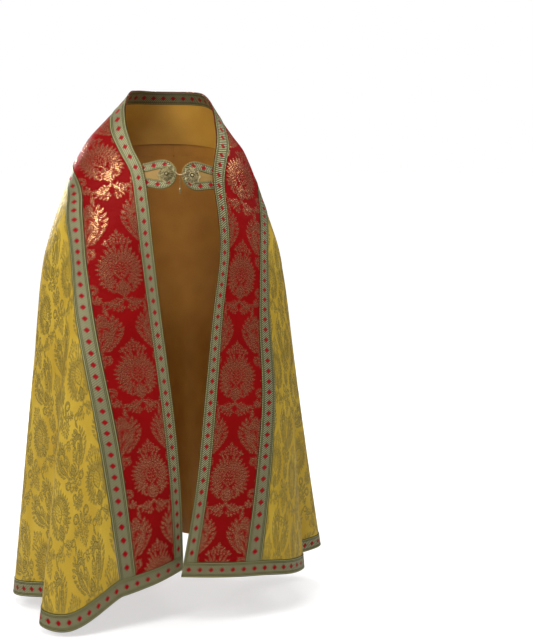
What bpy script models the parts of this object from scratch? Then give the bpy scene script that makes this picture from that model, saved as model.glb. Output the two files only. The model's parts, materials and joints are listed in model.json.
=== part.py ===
"""A cope: a wide semicircular church mantle, worn open at the front and closed on the chest by a clasp.

Metres, +Z up. The front faces -Y and +X is the wearer's left. The origin lies on the neck's axis at
the level of the neckline, where the wearer's shoulders carry the cloth.

Every piece of cloth is laid on one worn surface, which is described by a turn about the neck's axis
(0 degrees at the centre back, positive towards the wearer's left, about 180 at the front opening) and
a level in metres. A wall is a sheet of the surface, moved out to its inner and its outer face.
"""

import math
from collections import namedtuple

import bmesh
import bpy
from mathutils import Matrix, Vector

# ---------------------------------------------------------------- driving dimensions

EDGE_HALF_LENGTH = 1.600      # straight edge of the cut, from the centre back to a front corner
CENTRE_BACK_LENGTH = 1.480    # from the collar's top to the hem, along the cloth
ORPHREY_WIDTH = 0.210         # band that runs along the whole straight edge
GALLOON_WIDTH = 0.040         # wide braid on the edge, the band's seam and the hem
CENTRE_GALLOON_WIDTH = 0.033  # braid over the centre back seam

CLOTH = 0.0020                # brocade with its interlining
BRAID = 0.0010
LINING = 0.0012
GAP = 0.0003                  # between pieces that touch or are sewn edge to edge

COLLAR_LEVEL = 0.056          # top of the collar at the back
YOKE_LEVEL = -0.135           # seam under the band at the centre back

HOOD_HALF_WIDTH = 0.292
HOOD_SIDE = 0.340             # straight part of the hood's sides
HOOD_DEPTH = 0.515
HOOD_GALLOON = 0.030
HOOD_LIFT_TOP = 0.0040        # how far the hood stands off the back at its top edge,
HOOD_LIFT_YOKE = 0.0075       # just below it
HOOD_LIFT_TIP = 0.0140        # and at its tip
FRINGE_BACKING = 0.006
STRAND_SPACING = 0.0086
FRINGE_LENGTH = 0.070
FRINGE_SIDE_LENGTH = 0.062
STRAND = 0.0038

# ---------------------------------------------------------------- the worn surface

# Half-widths and depths of the worn shape at each level, measured from the neck's axis.
Level = namedtuple("Level", "z right left front back")
LEVELS = [
    Level(0.090, 0.092, 0.066, 0.060, 0.084),
    Level(0.056, 0.118, 0.086, 0.074, 0.100),
    Level(0.020, 0.147, 0.108, 0.086, 0.121),
    Level(-0.035, 0.200, 0.143, 0.106, 0.145),
    Level(-0.080, 0.243, 0.175, 0.126, 0.162),
    Level(-0.120, 0.270, 0.205, 0.145, 0.175),
    Level(-0.180, 0.302, 0.230, 0.166, 0.189),
    Level(-0.250, 0.327, 0.254, 0.183, 0.200),
    Level(-0.335, 0.357, 0.286, 0.197, 0.209),
    Level(-0.440, 0.387, 0.318, 0.207, 0.216),
    Level(-0.600, 0.408, 0.340, 0.218, 0.228),
    Level(-0.860, 0.432, 0.362, 0.237, 0.254),
    Level(-1.150, 0.452, 0.385, 0.256, 0.282),
    Level(-1.500, 0.474, 0.415, 0.278, 0.314),
]

# How square the worn shape is, as a superellipse's exponent, at each level.
Squareness = namedtuple("Squareness", "z right_front left_front back")
SQUARENESS = [
    Squareness(0.100, 2.0, 2.0, 2.0),
    Squareness(-0.200, 2.1, 2.1, 2.2),
    Squareness(-0.600, 2.3, 2.5, 2.3),
    Squareness(-1.500, 2.5, 2.9, 2.3),
]

# Each fold is a ridge (out > 0) or a trough (out < 0) that opens from its top level to the hem. It
# spreads by its own number of degrees before its turn and after it.
Fold = namedtuple("Fold", "turn out before after top")
FOLDS = [
    Fold(-192, -0.050, 26, 26, -0.75),      # right front edge, tucked behind the left one
    Fold(-126, 0.082, 24, 10, -0.20),       # right front ridge, steep towards the side
    Fold(-111, -0.058, 9, 13, -0.30),
    Fold(-90, 0.034, 16, 17, -0.72),        # right side ridge
    Fold(-66, -0.055, 15, 9, -0.35),
    Fold(-52, 0.085, 9, 19, -0.25),         # right back ridge
    Fold(-29, -0.034, 15, 12, -0.45),
    Fold(-13, 0.050, 11, 16, -0.50),        # centre back ridge
    Fold(12, -0.046, 16, 14, -0.55),
    Fold(36, 0.058, 17, 13, -0.42),         # left back ridge
    Fold(56, -0.040, 13, 13, -0.50),
    Fold(74, 0.072, 13, 9, -0.25),          # left side ridge
    Fold(90, -0.052, 10, 12, -0.38),
    Fold(108, -0.012, 12, 12, -0.45),
]

# The hem's level round the wearer.
Hem = namedtuple("Hem", "turn z")
HEM = [
    Hem(-186, -1.330),
    Hem(-166, -1.337),
    Hem(-150, -1.384),
    Hem(-133, -1.478),
    Hem(-112, -1.440),
    Hem(-90, -1.462),
    Hem(-46, -1.420),
    Hem(-9, -1.395),
    Hem(38, -1.375),
    Hem(73, -1.385),
    Hem(107, -1.375),
    Hem(136, -1.345),
    Hem(180, -1.335),
]

# Where the band lies: its free edge and its seam with the body, by the length along the straight edge.
Station = namedtuple("Station", "along edge_turn edge_z seam_turn seam_z")
RIGHT_BAND = [
    Station(0.000, 0, COLLAR_LEVEL, 0, YOKE_LEVEL),
    Station(0.065, 33, 0.056, 14, -0.135),
    Station(0.130, 66, 0.056, 28, -0.138),
    Station(0.200, 93, 0.046, 44, -0.143),
    Station(0.265, 111, 0.000, 61, -0.152),
    Station(0.330, 125, -0.055, 78, -0.168),
    Station(0.395, 138, -0.110, 93, -0.195),
    Station(0.460, 151, -0.170, 102, -0.235),
    Station(0.560, 158.5, -0.265, 107.5, -0.305),
    Station(0.660, 162.5, -0.365, 114, -0.395),
    Station(0.860, 169, -0.565, 123.5, -0.587),
    Station(1.110, 177, -0.820, 135, -0.840),
    Station(1.360, 182, -1.070, 143, -1.090),
    Station(1.600, 183.5, -1.328, 150, -1.384),
]
LEFT_BAND = [
    Station(0.000, 0, COLLAR_LEVEL, 0, YOKE_LEVEL),
    Station(0.065, 35, 0.054, 15, -0.137),
    Station(0.130, 70, 0.044, 31, -0.145),
    Station(0.200, 98, 0.014, 48, -0.158),
    Station(0.265, 115, -0.030, 64, -0.182),
    Station(0.330, 126, -0.078, 79, -0.215),
    Station(0.395, 137, -0.130, 90, -0.250),
    Station(0.460, 144, -0.190, 97, -0.285),
    Station(0.560, 145, -0.290, 107.5, -0.350),
    Station(0.660, 146, -0.390, 115, -0.430),
    Station(0.860, 153.5, -0.580, 120, -0.600),
    Station(1.110, 161, -0.820, 121.5, -0.835),
    Station(1.360, 168, -1.070, 128, -1.080),
    Station(1.600, 178.5, -1.335, 136, -1.345),
]

# Rows of every long piece, by the length along the straight edge from the centre back.
HEM_ROW = EDGE_HALF_LENGTH - GALLOON_WIDTH
ROWS = [
    0.0, CENTRE_GALLOON_WIDTH / 2, 0.065, 0.120, 0.175, 0.225, 0.270, 0.315, 0.355, 0.395, 0.430,
    0.470, 0.520, 0.580, 0.650, 0.730, 0.820, 0.920, 1.030, 1.140, 1.250, 1.360, 1.465,
    HEM_ROW, EDGE_HALF_LENGTH,
]
BODY_COLUMNS = 56

NORMAL_STEP = 0.002
FOLD_GROWTH = 1.15            # how fast a fold opens below its top


def read(rows, at, column, key=0):
    """Value of a table's column at a place between its rows, on a smooth curve through them."""
    rising = rows[-1][key] > rows[0][key]
    last = len(rows) - 2
    low = 0
    while low < last and (at > rows[low + 1][key]) == rising:
        low += 1

    def slope(i):
        before, after = rows[max(i - 1, 0)], rows[min(i + 1, len(rows) - 1)]
        return (getattr(after, column) - getattr(before, column)) / (after[key] - before[key])

    start, end = rows[low], rows[low + 1]
    span = end[key] - start[key]
    t = (at - start[key]) / span
    if t < 0 or t > 1:
        edge = low if t < 0 else low + 1
        return getattr(rows[edge], column) + slope(edge) * (at - rows[edge][key])
    a, b = getattr(start, column), getattr(end, column)
    return ((2 * t ** 3 - 3 * t ** 2 + 1) * a + (t ** 3 - 2 * t ** 2 + t) * span * slope(low)
            + (3 * t ** 2 - 2 * t ** 3) * b + (t ** 3 - t ** 2) * span * slope(low + 1))


def ease(t):
    t = min(max(t, 0.0), 1.0)
    return t * t * (3 - 2 * t)


def folds_out(turn, z):
    """How far the folds move the cloth out at a place."""
    hem = read(HEM, turn, "z")
    out = 0.0
    for fold in FOLDS:
        off = turn - fold.turn
        away = abs(off) / (fold.before if off < 0 else fold.after)
        opened = (fold.top - z) / (fold.top - hem)
        if away < 1.5 and opened > 0:
            out += fold.out * math.cos(away * math.pi / 3) ** 2 * opened ** FOLD_GROWTH
    return out


def radius(turn, z):
    """Distance from the neck's axis to the worn surface."""
    side = math.sin(math.radians(turn))
    back = math.cos(math.radians(turn))
    right = turn < 0
    half_width = read(LEVELS, z, "right" if right else "left")
    depth = read(LEVELS, z, "back" if back > 0 else "front")
    square = read(SQUARENESS, z, "back" if back > 0 else "right_front" if right else "left_front")
    plain = (abs(side / half_width) ** square + abs(back / depth) ** square) ** (-1 / square)
    return plain + folds_out(turn, z)


def on_surface(turn, z, lift=0.0):
    """Point of the worn surface, moved out along its normal by lift."""
    def bare(some_turn, some_z):
        r = radius(some_turn, some_z)
        a = math.radians(some_turn)
        return Vector((r * math.sin(a), r * math.cos(a), some_z))

    point = bare(turn, z)
    if lift == 0:
        return point
    step = math.degrees(NORMAL_STEP / point.xy.length)
    round_it = bare(turn + step, z) - bare(turn - step, z)
    up_it = bare(turn, z + NORMAL_STEP) - bare(turn, z - NORMAL_STEP)
    return point + up_it.cross(round_it).normalized() * lift


def on_band(along, across, lift):
    """Point of the band: along the straight edge (negative on the right), across it from the edge."""
    rows = RIGHT_BAND if along < 0 else LEFT_BAND
    side = -1 if along < 0 else 1
    place = {name: read(rows, abs(along), name) for name in Station._fields[1:]}
    t = across / ORPHREY_WIDTH
    turn = side * (place["edge_turn"] * (1 - t) + place["seam_turn"] * t)
    return on_surface(turn, place["edge_z"] * (1 - t) + place["seam_z"] * t, lift)


def fan_length(angle):
    """Length of the cut from the middle of the body's straight edge to the hem, at an angle from the
    centre back: the hem is half an ellipse about that middle."""
    side = math.sin(angle) / EDGE_HALF_LENGTH
    down = math.cos(angle) / (CENTRE_BACK_LENGTH - ORPHREY_WIDTH)
    return 1 / math.hypot(side, down)


def on_body(angle, reach, lift):
    """Point of the body, which fans out from the middle of the yoke's seam: the angle runs from -90
    degrees, along the right seam, to 90, and reach from 0 at the middle to 1 at the hem."""
    rows = RIGHT_BAND if angle < 0 else LEFT_BAND
    along = reach * EDGE_HALF_LENGTH
    seam_z = read(rows, along, "seam_z")
    down = max(math.cos(angle), 0.0)
    even = angle / (math.pi / 2)
    spread = math.sin(angle) + (even - math.sin(angle)) * ease(reach / 0.8)
    centre_hem = read(HEM, 0, "z")
    z = (YOKE_LEVEL + reach * (centre_hem - YOKE_LEVEL)) * down + seam_z * (1 - down)
    hem_reached = centre_hem * down + rows[-1].seam_z * (1 - down)
    z += (read(HEM, rows[-1].seam_turn * even, "z") - hem_reached) * reach ** 2
    return on_surface(read(rows, along, "seam_turn") * spread, z, lift)


# ---------------------------------------------------------------- making walls

def material(name, color, roughness, metallic=0.0):
    made = bpy.data.materials.new(name)
    made.use_nodes = True
    shader = made.node_tree.nodes["Principled BSDF"]
    shader.inputs["Base Color"].default_value = (*color, 1.0)
    shader.inputs["Roughness"].default_value = roughness
    shader.inputs["Metallic"].default_value = metallic
    return made


def finish(name, bm, look, smooth=True):
    """Turn a closed bmesh into a named object."""
    bmesh.ops.remove_doubles(bm, verts=bm.verts, dist=1e-6)
    bmesh.ops.dissolve_degenerate(bm, edges=bm.edges, dist=1e-7)
    bmesh.ops.recalc_face_normals(bm, faces=bm.faces)
    mesh = bpy.data.meshes.new(name)
    bm.to_mesh(mesh)
    bm.free()
    if smooth:
        mesh.shade_smooth()
        mesh.set_sharp_from_angle(angle=math.radians(40))
    mesh.materials.append(look)
    made = bpy.data.objects.new(name, mesh)
    bpy.context.collection.objects.link(made)
    return made


def thicken(bm, place, turned_past=None):
    """Give a sheet, whose vertices hold sheet coordinates, its two faces and its edges. All sheets
    are cut along the same diagonals, so that a piece laid on another one follows its facets; past a
    column's value the sheet lies on one that runs the other way, and takes the other diagonal."""
    turned = [face for face in bm.faces
              if turned_past and abs(face.calc_center_median().x) > turned_past]
    bmesh.ops.triangulate(bm, faces=turned, quad_method="ALTERNATE")
    straight = [face for face in bm.faces if len(face.verts) > 3]
    bmesh.ops.triangulate(bm, faces=straight, quad_method="FIXED")
    made = bmesh.ops.extrude_face_region(bm, geom=bm.faces[:], use_keep_orig=True)
    outer = {item for item in made["geom"] if isinstance(item, bmesh.types.BMVert)}
    for vert in bm.verts:
        vert.co = place(vert.co.x, vert.co.y, vert in outer)


def sheet(name, look, columns, rows, inner, outer, place, turned_past=None):
    """Wall over a grid of sheet coordinates. place takes a column's value, a row's value and a lift."""
    bm = bmesh.new()
    bmesh.ops.create_grid(bm, x_segments=len(columns) - 1, y_segments=len(rows) - 1, size=1)
    for vert in bm.verts:
        column = round((vert.co.x + 1) / 2 * (len(columns) - 1))
        row = round((vert.co.y + 1) / 2 * (len(rows) - 1))
        vert.co = (columns[column], rows[row], 0)
    thicken(bm, lambda x, y, is_outer: place(x, y, outer if is_outer else inner), turned_past)
    return finish(name, bm, look)


def both_ways(values):
    return [-v for v in reversed(values) if v > 0] + list(values)


def ring_wall(name, look, count, rings, inner, outer, place, filled=False):
    """Wall over closed rings of sheet coordinates, and over the middle as well if it is filled."""
    bm = bmesh.new()
    made = bmesh.ops.create_circle(bm, cap_ends=False, segments=count, radius=1)
    for number, vert in enumerate(made["verts"]):
        vert.co = (number, rings[0], 0)
    edges = bm.edges[:]
    for ring in rings[1:]:
        grown = bmesh.ops.extrude_edge_only(bm, edges=edges)["geom"]
        edges = [item for item in grown if isinstance(item, bmesh.types.BMEdge)]
        for vert in grown:
            if isinstance(vert, bmesh.types.BMVert):
                vert.co.y = ring
    if filled:
        rim = {vert for edge in edges for vert in edge.verts}
        bmesh.ops.pointmerge(bm, verts=list(rim), merge_co=(0, rings[-1], 0))
    thicken(bm, lambda x, y, is_outer: place(round(x), y, outer if is_outer else inner))
    return finish(name, bm, look)


def offset_path(points, distance, closed):
    """Points moved to their left by a distance, with mitred corners."""
    moved = []
    for i, point in enumerate(points):
        before = points[i - 1] if closed or i else None
        after = points[(i + 1) % len(points)] if closed or i + 1 < len(points) else None
        turns = [((b - a).normalized()) for a, b in ((before, point), (point, after)) if a and b]
        normals = [Vector((-turn.y, turn.x)) for turn in turns]
        first, second = normals[0], normals[-1]
        moved.append(point + (first + second) / (1 + first.dot(second)) * distance)
    return moved


# ---------------------------------------------------------------- looks

GOLD_CLOTH = (0.58, 0.40, 0.08)
RED_CLOTH = (0.38, 0.012, 0.018)
BRAID_COLOR = (0.26, 0.26, 0.13)
SATIN = (0.50, 0.22, 0.05)
TAB_CLOTH = (0.50, 0.38, 0.14)
BULLION = (0.36, 0.22, 0.09)
ANTIQUE_GOLD = (0.55, 0.45, 0.26)


# ---------------------------------------------------------------- the cloth

def make_body(look):
    angles = [math.pi * (i / BODY_COLUMNS - 0.5) for i in range(BODY_COLUMNS + 1)]

    def place(angle, row, lift):
        if abs(row - HEM_ROW) < 1e-4:
            return on_body(angle, 1 - GALLOON_WIDTH / fan_length(angle), lift)
        return on_body(angle, row / EDGE_HALF_LENGTH, lift)

    return sheet("body", look, angles, ROWS, 0, CLOTH, place)


def make_orphrey(name, look, side):
    across = [0, GALLOON_WIDTH, 0.088, 0.129, ORPHREY_WIDTH - GALLOON_WIDTH, ORPHREY_WIDTH - GAP]
    rows = sorted(side * max(row, GAP / 2) for row in ROWS)
    return sheet(name, look, across, rows, 0, CLOTH, lambda x, y, lift: on_band(y, x, lift))


def make_band_braids(look):
    """Braid on the free edge, over the seam of the band and over the centre back seam."""
    rows = both_ways([row for row in ROWS if row < HEM_ROW] + [HEM_ROW - GAP])
    inner, outer = CLOTH + GAP, CLOTH + GAP + BRAID
    seam_side = ORPHREY_WIDTH - GALLOON_WIDTH

    def place(across, along, lift):
        return on_band(along, across, lift)

    sheet("edge_galloon", look, [0, GALLOON_WIDTH], rows, inner, outer, place)
    sheet("seam_galloon", look, [seam_side, ORPHREY_WIDTH - GAP], rows, inner, outer, place)
    half = CENTRE_GALLOON_WIDTH / 2
    levels = [GALLOON_WIDTH + GAP, 0.088, 0.129, seam_side - GAP]
    sheet("centre_galloon", look, levels, [-half, 0, half], inner, outer, place)


def make_hem_galloon(look):
    """Braid round the whole hem: over the foot of both halves of the band and over the body."""
    band = [2 - across / ORPHREY_WIDTH for across in (0, GALLOON_WIDTH, 0.088, 0.129,
                                                     ORPHREY_WIDTH - GALLOON_WIDTH)]
    body = [2 * i / BODY_COLUMNS - 1 for i in range(BODY_COLUMNS + 1)]
    columns = [-value for value in band] + body + list(reversed(band))

    def place(column, row, lift):
        if abs(column) > 1:
            across = (2 - abs(column)) * ORPHREY_WIDTH
            return on_band(math.copysign(HEM_ROW + row * GALLOON_WIDTH, column), across, lift)
        angle = column * math.pi / 2
        return on_body(angle, 1 - (1 - row) * GALLOON_WIDTH / fan_length(angle), lift)

    inner, outer = CLOTH + GAP, CLOTH + GAP + BRAID
    sheet("hem_galloon", look, columns, [0, 1], inner, outer, place, turned_past=1)


def make_neck_inside(braid_look, satin_look):
    """Inside of the back neck: a braid facing along the collar and the lining below it."""
    facing_rows = both_ways([row for row in ROWS if row < 0.36])
    lining_rows = both_ways([row for row in ROWS if row < 0.40])
    low_edge = ORPHREY_WIDTH - GALLOON_WIDTH

    def place(across, along, lift):
        return on_band(along, across, lift)

    sheet("collar_facing", braid_look, [0, GALLOON_WIDTH], facing_rows, -GAP - BRAID, -GAP, place)
    sheet("neck_lining", satin_look, [GALLOON_WIDTH + GAP, 0.088, 0.129, low_edge],
          lining_rows, -GAP - LINING, -GAP, place)


# ---------------------------------------------------------------- the hood

HOOD_TOP = 0.0006              # its top edge, below the yoke's seam
HOOD_SLOPE = 0.975             # level lost for each metre of its length
HOOD_MIDDLE = Vector((0, 0.23))
HOOD_TIP_LENGTH = 2.0          # length of its curved lower edge, in half-widths
HOOD_TIP_POINT, HOOD_TIP_ROUND = 1.05, 0.46
HOOD_TOP_PARTS, HOOD_SIDE_PARTS, HOOD_TIP_PARTS = 14, 16, 34
HOOD_CORNER = 0.072            # the galloon's inner edge is drawn together this far round a corner
STRAND_DROOP = 1.5             # how far a strand on an upright edge turns down
STRAND_RINGS = ((0.10, 1.0), (0.55, 1.0), (1.0, 0.7))   # share of its length, share of its width


def hood_lengths():
    return HOOD_SIDE - HOOD_TOP, HOOD_TIP_LENGTH * HOOD_HALF_WIDTH + (HOOD_DEPTH - HOOD_SIDE)


def hood_edge(gone):
    """Point of the hood's side and lower edge, so far along it from the top left corner."""
    side, curve = hood_lengths()
    if gone < side:
        return Vector((HOOD_HALF_WIDTH, HOOD_TOP + gone))
    if gone > side + curve:
        return Vector((-HOOD_HALF_WIDTH, HOOD_TOP + 2 * side + curve - gone))
    x = math.cos(math.pi * (gone - side) / curve)
    drop = (HOOD_DEPTH - HOOD_SIDE) * (1 - abs(x) ** HOOD_TIP_POINT) ** HOOD_TIP_ROUND
    return Vector((HOOD_HALF_WIDTH * x, HOOD_SIDE + drop))


def hood_marks():
    """Lengths along the hood's side and lower edge at which its outline has a point."""
    side, curve = hood_lengths()
    upper = [side * i / HOOD_SIDE_PARTS for i in range(HOOD_SIDE_PARTS)]
    tip = [side + curve * i / HOOD_TIP_PARTS for i in range(HOOD_TIP_PARTS + 1)]
    return upper + tip + [2 * side + curve - gone for gone in reversed(upper)]


def strand_marks():
    """The outline's lengths, each part cut into as many strands as it has room for."""
    marks = hood_marks()
    lengths = [marks[0]]
    for start, end in zip(marks, marks[1:]):
        strands = round((end - start) / STRAND_SPACING)
        lengths += [start + (end - start) * (i + 1) / strands for i in range(strands)]
    return lengths


def hood_outline():
    loop = [hood_edge(gone) for gone in hood_marks()]
    for i in range(1, HOOD_TOP_PARTS):
        loop.append(Vector((HOOD_HALF_WIDTH * (2 * i / HOOD_TOP_PARTS - 1), HOOD_TOP)))
    return loop


def on_hood(x, drop, lift):
    """Point above the back, x to the left of its centre and a drop below the yoke's seam."""
    rows = RIGHT_BAND if x < 0 else LEFT_BAND
    side = -1 if x < 0 else 1
    seam_turn, seam_z = (read(rows, abs(x), name) for name in ("seam_turn", "seam_z"))
    z = seam_z - drop * HOOD_SLOPE
    wanted = radius(side * seam_turn, seam_z) * math.sin(math.radians(seam_turn))
    low, high = 0.0, 89.0
    for _ in range(22):
        turn = (low + high) / 2
        if radius(side * turn, z) * math.sin(math.radians(turn)) < wanted:
            low = turn
        else:
            high = turn
    away = (HOOD_LIFT_TOP + (HOOD_LIFT_YOKE - HOOD_LIFT_TOP) * ease(drop / HOOD_GALLOON)
            + (HOOD_LIFT_TIP - HOOD_LIFT_YOKE) * ease(drop / HOOD_DEPTH))
    return on_surface(side * (low + high) / 2, z, away + lift)


def make_hood(red, braid):
    outline = hood_outline()
    braid_line = offset_path(outline, HOOD_GALLOON, closed=True)
    for edge, inner in zip(outline, braid_line):
        below = edge.y - HOOD_TOP
        if abs(edge.x) > HOOD_HALF_WIDTH - 1e-6 and below < HOOD_CORNER:
            inner.y = HOOD_TOP + HOOD_GALLOON + below * (1 - HOOD_GALLOON / HOOD_CORNER)

    def place(number, ring, lift):
        if ring <= 1:
            flat = outline[number].lerp(braid_line[number], ring)
        else:
            flat = braid_line[number % len(outline)].lerp(HOOD_MIDDLE, (ring - 1) / 4)
        return on_hood(flat.x, flat.y, lift)

    ring_wall("hood", red, len(outline), [0, 1, 2, 3, 4, 5], 0, CLOTH, place, filled=True)
    ring_wall("hood_galloon", braid, len(outline), [0, 1], CLOTH + GAP, CLOTH + GAP + BRAID, place)


def make_hood_fringe(look):
    """Twisted fringe round the hood's sides and lower edge. It is modelled in the hood's flat plane,
    with its height as z, and then laid on the back."""
    edge = [hood_edge(gone) for gone in strand_marks()]
    strands = len(edge) - 1
    near = offset_path(edge, -GAP, closed=False)
    far = offset_path(edge, -GAP - FRINGE_BACKING, closed=False)
    bm = bmesh.new()
    bmesh.ops.create_grid(bm, x_segments=strands, y_segments=1, size=1)
    for vert in bm.verts:
        vert.co = (round((vert.co.x + 1) / 2 * strands), round((vert.co.y + 1) / 2), 0)

    def backing(x, y, is_outer):
        flat = (far if y > 0.5 else near)[round(x)]
        return Vector((flat.x, flat.y, CLOTH if is_outer else 0))

    thicken(bm, backing)
    far_points = {(round(point.x, 5), round(point.y, 5)) for point in far}
    roots = [face for face in bm.faces
             if all((round(vert.co.x, 5), round(vert.co.y, 5)) in far_points for vert in face.verts)]
    for root in roots:
        hang_strand(bm, root)
    for vert in bm.verts:
        vert.co = on_hood(*vert.co)
    return finish("hood_fringe", bm, look)


def hang_strand(bm, root):
    """Grow one four-sided strand from a face of the backing: it leaves the edge square to it and
    hangs down as far as the edge's slope lets it stay clear of its neighbours."""
    start = root.calc_center_median()
    foot = root.verts[0].co.xy
    far_foot = max((vert.co.xy for vert in root.verts), key=lambda point: (point - foot).length)
    along = (far_foot - foot).normalized()
    out = Vector((along.y, -along.x))
    if out.dot(start.xy - HOOD_MIDDLE) < 0:
        out = -out
    sideways = abs(out.x)
    reach = FRINGE_LENGTH + (FRINGE_SIDE_LENGTH - FRINGE_LENGTH) * sideways
    heading = (out + Vector((0, STRAND_DROOP)) * sideways).normalized()
    across = Vector((-heading.y, heading.x))
    face, centre = root, start.xy
    for share, width_share in STRAND_RINGS:
        width = width_share * STRAND
        face = bmesh.ops.extrude_discrete_faces(bm, faces=[face])["faces"][0]
        onward = start.xy + heading * reach * share
        for vert in face.verts:
            hand = math.copysign(width / 2, (vert.co.xy - centre).dot(across))
            height = math.copysign(width / 2, vert.co.z - start.z)
            vert.co = (onward + across * hand).to_3d() + Vector((0, 0, start.z + height))
        centre = onward


# ---------------------------------------------------------------- the clasp

TAB = 0.003                    # stiffened tab of cloth
TAB_LENGTH = 0.096
TAB_BEHIND = 0.006             # how far it reaches behind the band's edge
TAB_ROOT_HALF_HEIGHT = 0.033
TAB_HALF_HEIGHT = 0.0415
TAB_GALLOON = 0.024
TAB_LEVEL_ALONG = {-1: 0.475, 1: 0.462}
TAB_SET_BACK = 0.0030
TAB_END_PARTS = 14
BROOCH_RADIUS = 0.0215
BROOCH_CENTRE = 0.068
BROOCH_PETALS = 8
BROOCH_SCALLOP = 0.08
BROOCH_RINGS = [(1.0, 0.0), (1.0, 0.0016), (0.80, 0.0030), (0.52, 0.0024), (0.34, 0.0046)]
WIRE = 0.0011
HOOK_HEIGHT = 0.0026           # of the wire above the braid
HOOK_BOW = Vector((0, -0.003, -0.002))
HOOK_PARTS = 12
DROP_LENGTH = 0.052
DROP_RINGS = [(0.0009, 0.0), (0.0009, -0.030), (0.0018, -0.034), (0.0030, -0.044), (0.0022, -0.050)]


def tab_frame(side):
    """Matrix of a tab: x from its root to its round end, y up, z out of the chest. It is tangent to
    the worn surface at the band's free edge, and lies just behind it."""
    along = side * TAB_LEVEL_ALONG[side]
    root = on_band(along, TAB_BEHIND, -TAB_SET_BACK)
    out = (on_band(along, TAB_BEHIND, 0) - root).normalized()
    inward = Vector((-side, 0, 0))
    inward = (inward - out * inward.dot(out)).normalized()
    up = out.cross(inward) * -side
    frame = Matrix((inward, up, out)).transposed().to_4x4()
    frame.translation = root
    return frame


def tab_outline():
    """Upper half of the tab's outline and its mirror image, from the upper root to the lower one."""
    upper = []
    for i in range(4):
        t = i / 4
        height = TAB_ROOT_HALF_HEIGHT + (TAB_HALF_HEIGHT - TAB_ROOT_HALF_HEIGHT) * ease(t)
        upper.append(Vector((t * (TAB_LENGTH - TAB_HALF_HEIGHT), height)))
    for i in range(TAB_END_PARTS // 2 + 1):
        a = math.pi / 2 * i / (TAB_END_PARTS // 2)
        upper.append(Vector((TAB_LENGTH - TAB_HALF_HEIGHT + TAB_HALF_HEIGHT * math.sin(a),
                             TAB_HALF_HEIGHT * math.cos(a))))
    return upper + [Vector((point.x, -point.y)) for point in reversed(upper[:-1])]


def make_tab(name, look, frame):
    outline = tab_outline()
    bm = bmesh.new()
    bmesh.ops.create_circle(bm, cap_ends=True, segments=len(outline), radius=1)
    for vert, flat in zip(bm.verts, outline):
        vert.co = flat.to_3d()
    thicken(bm, lambda x, y, is_outer: frame @ Vector((x, y, 0 if is_outer else -TAB)))
    return finish(name, bm, look, smooth=False)


def make_tab_galloon(name, look, frame):
    """Braid round the tab's upper side, its round end and its lower side."""
    outline = tab_outline()
    inner_line = offset_path(outline, -TAB_GALLOON, closed=False)

    def place(number, ring, lift):
        flat = outline[round(number)].lerp(inner_line[round(number)], ring)
        return frame @ Vector((max(flat.x, 0), flat.y, lift))

    numbers = list(range(len(outline)))
    return sheet(name, look, numbers, [0, 1], GAP, GAP + BRAID, place)


def make_brooch(name, look, frame):
    """Domed openwork rosette, as one solid with a scalloped rim."""
    count = BROOCH_PETALS * 4
    base = 2 * GAP + BRAID
    bm = bmesh.new()
    made = bmesh.ops.create_circle(bm, cap_ends=True, segments=count, radius=1)
    rim = made["verts"]
    top = next(iter(bm.faces))
    for step, (size, height) in enumerate(BROOCH_RINGS):
        if step:
            top = bmesh.ops.extrude_discrete_faces(bm, faces=[top])["faces"][0]
            rim = list(top.verts)
        for vert in rim:
            a = math.atan2(vert.co.y, vert.co.x)
            scallop = BROOCH_SCALLOP * size ** 3 * math.cos(BROOCH_PETALS * a)
            r = BROOCH_RADIUS * size * (1 + scallop)
            vert.co = (r * math.cos(a), r * math.sin(a), height)
    bottom = [edge for edge in bm.edges if edge.is_boundary]
    bmesh.ops.contextual_create(bm, geom=bottom)
    for vert in bm.verts:
        vert.co = frame @ (vert.co + Vector((BROOCH_CENTRE, 0, base)))
    return finish(name, bm, look)


def make_wire(name, look, points, thickness):
    """Round wire along a smooth curve."""
    curve = bpy.data.curves.new(name, "CURVE")
    curve.dimensions = "3D"
    curve.bevel_depth = thickness
    curve.bevel_resolution = 2
    curve.use_fill_caps = True
    line = curve.splines.new("POLY")
    line.points.add(len(points) - 1)
    for point, place in zip(line.points, points):
        point.co = (*place, 1)
    curve.materials.append(look)
    made = bpy.data.objects.new(name, curve)
    bpy.context.collection.objects.link(made)
    return made


def make_drop(look, top):
    """Small chain and pendant that hangs from the hook, as one turned solid."""
    bm = bmesh.new()
    bmesh.ops.create_circle(bm, cap_ends=True, segments=8, radius=1)
    face = next(iter(bm.faces))
    ring = list(bm.verts)
    for step, (r, z) in enumerate(DROP_RINGS):
        if step:
            face = bmesh.ops.extrude_discrete_faces(bm, faces=[face])["faces"][0]
            ring = list(face.verts)
        for vert in ring:
            flat = vert.co.xy.normalized() * r
            vert.co = (flat.x, flat.y, z)
    bmesh.ops.contextual_create(bm, geom=[edge for edge in bm.edges if edge.is_boundary])
    tip = bmesh.ops.poke(bm, faces=[face])["verts"][0]
    tip.co.z = -DROP_LENGTH
    for vert in bm.verts:
        vert.co += top
    return finish("clasp_drop", bm, look)


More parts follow.
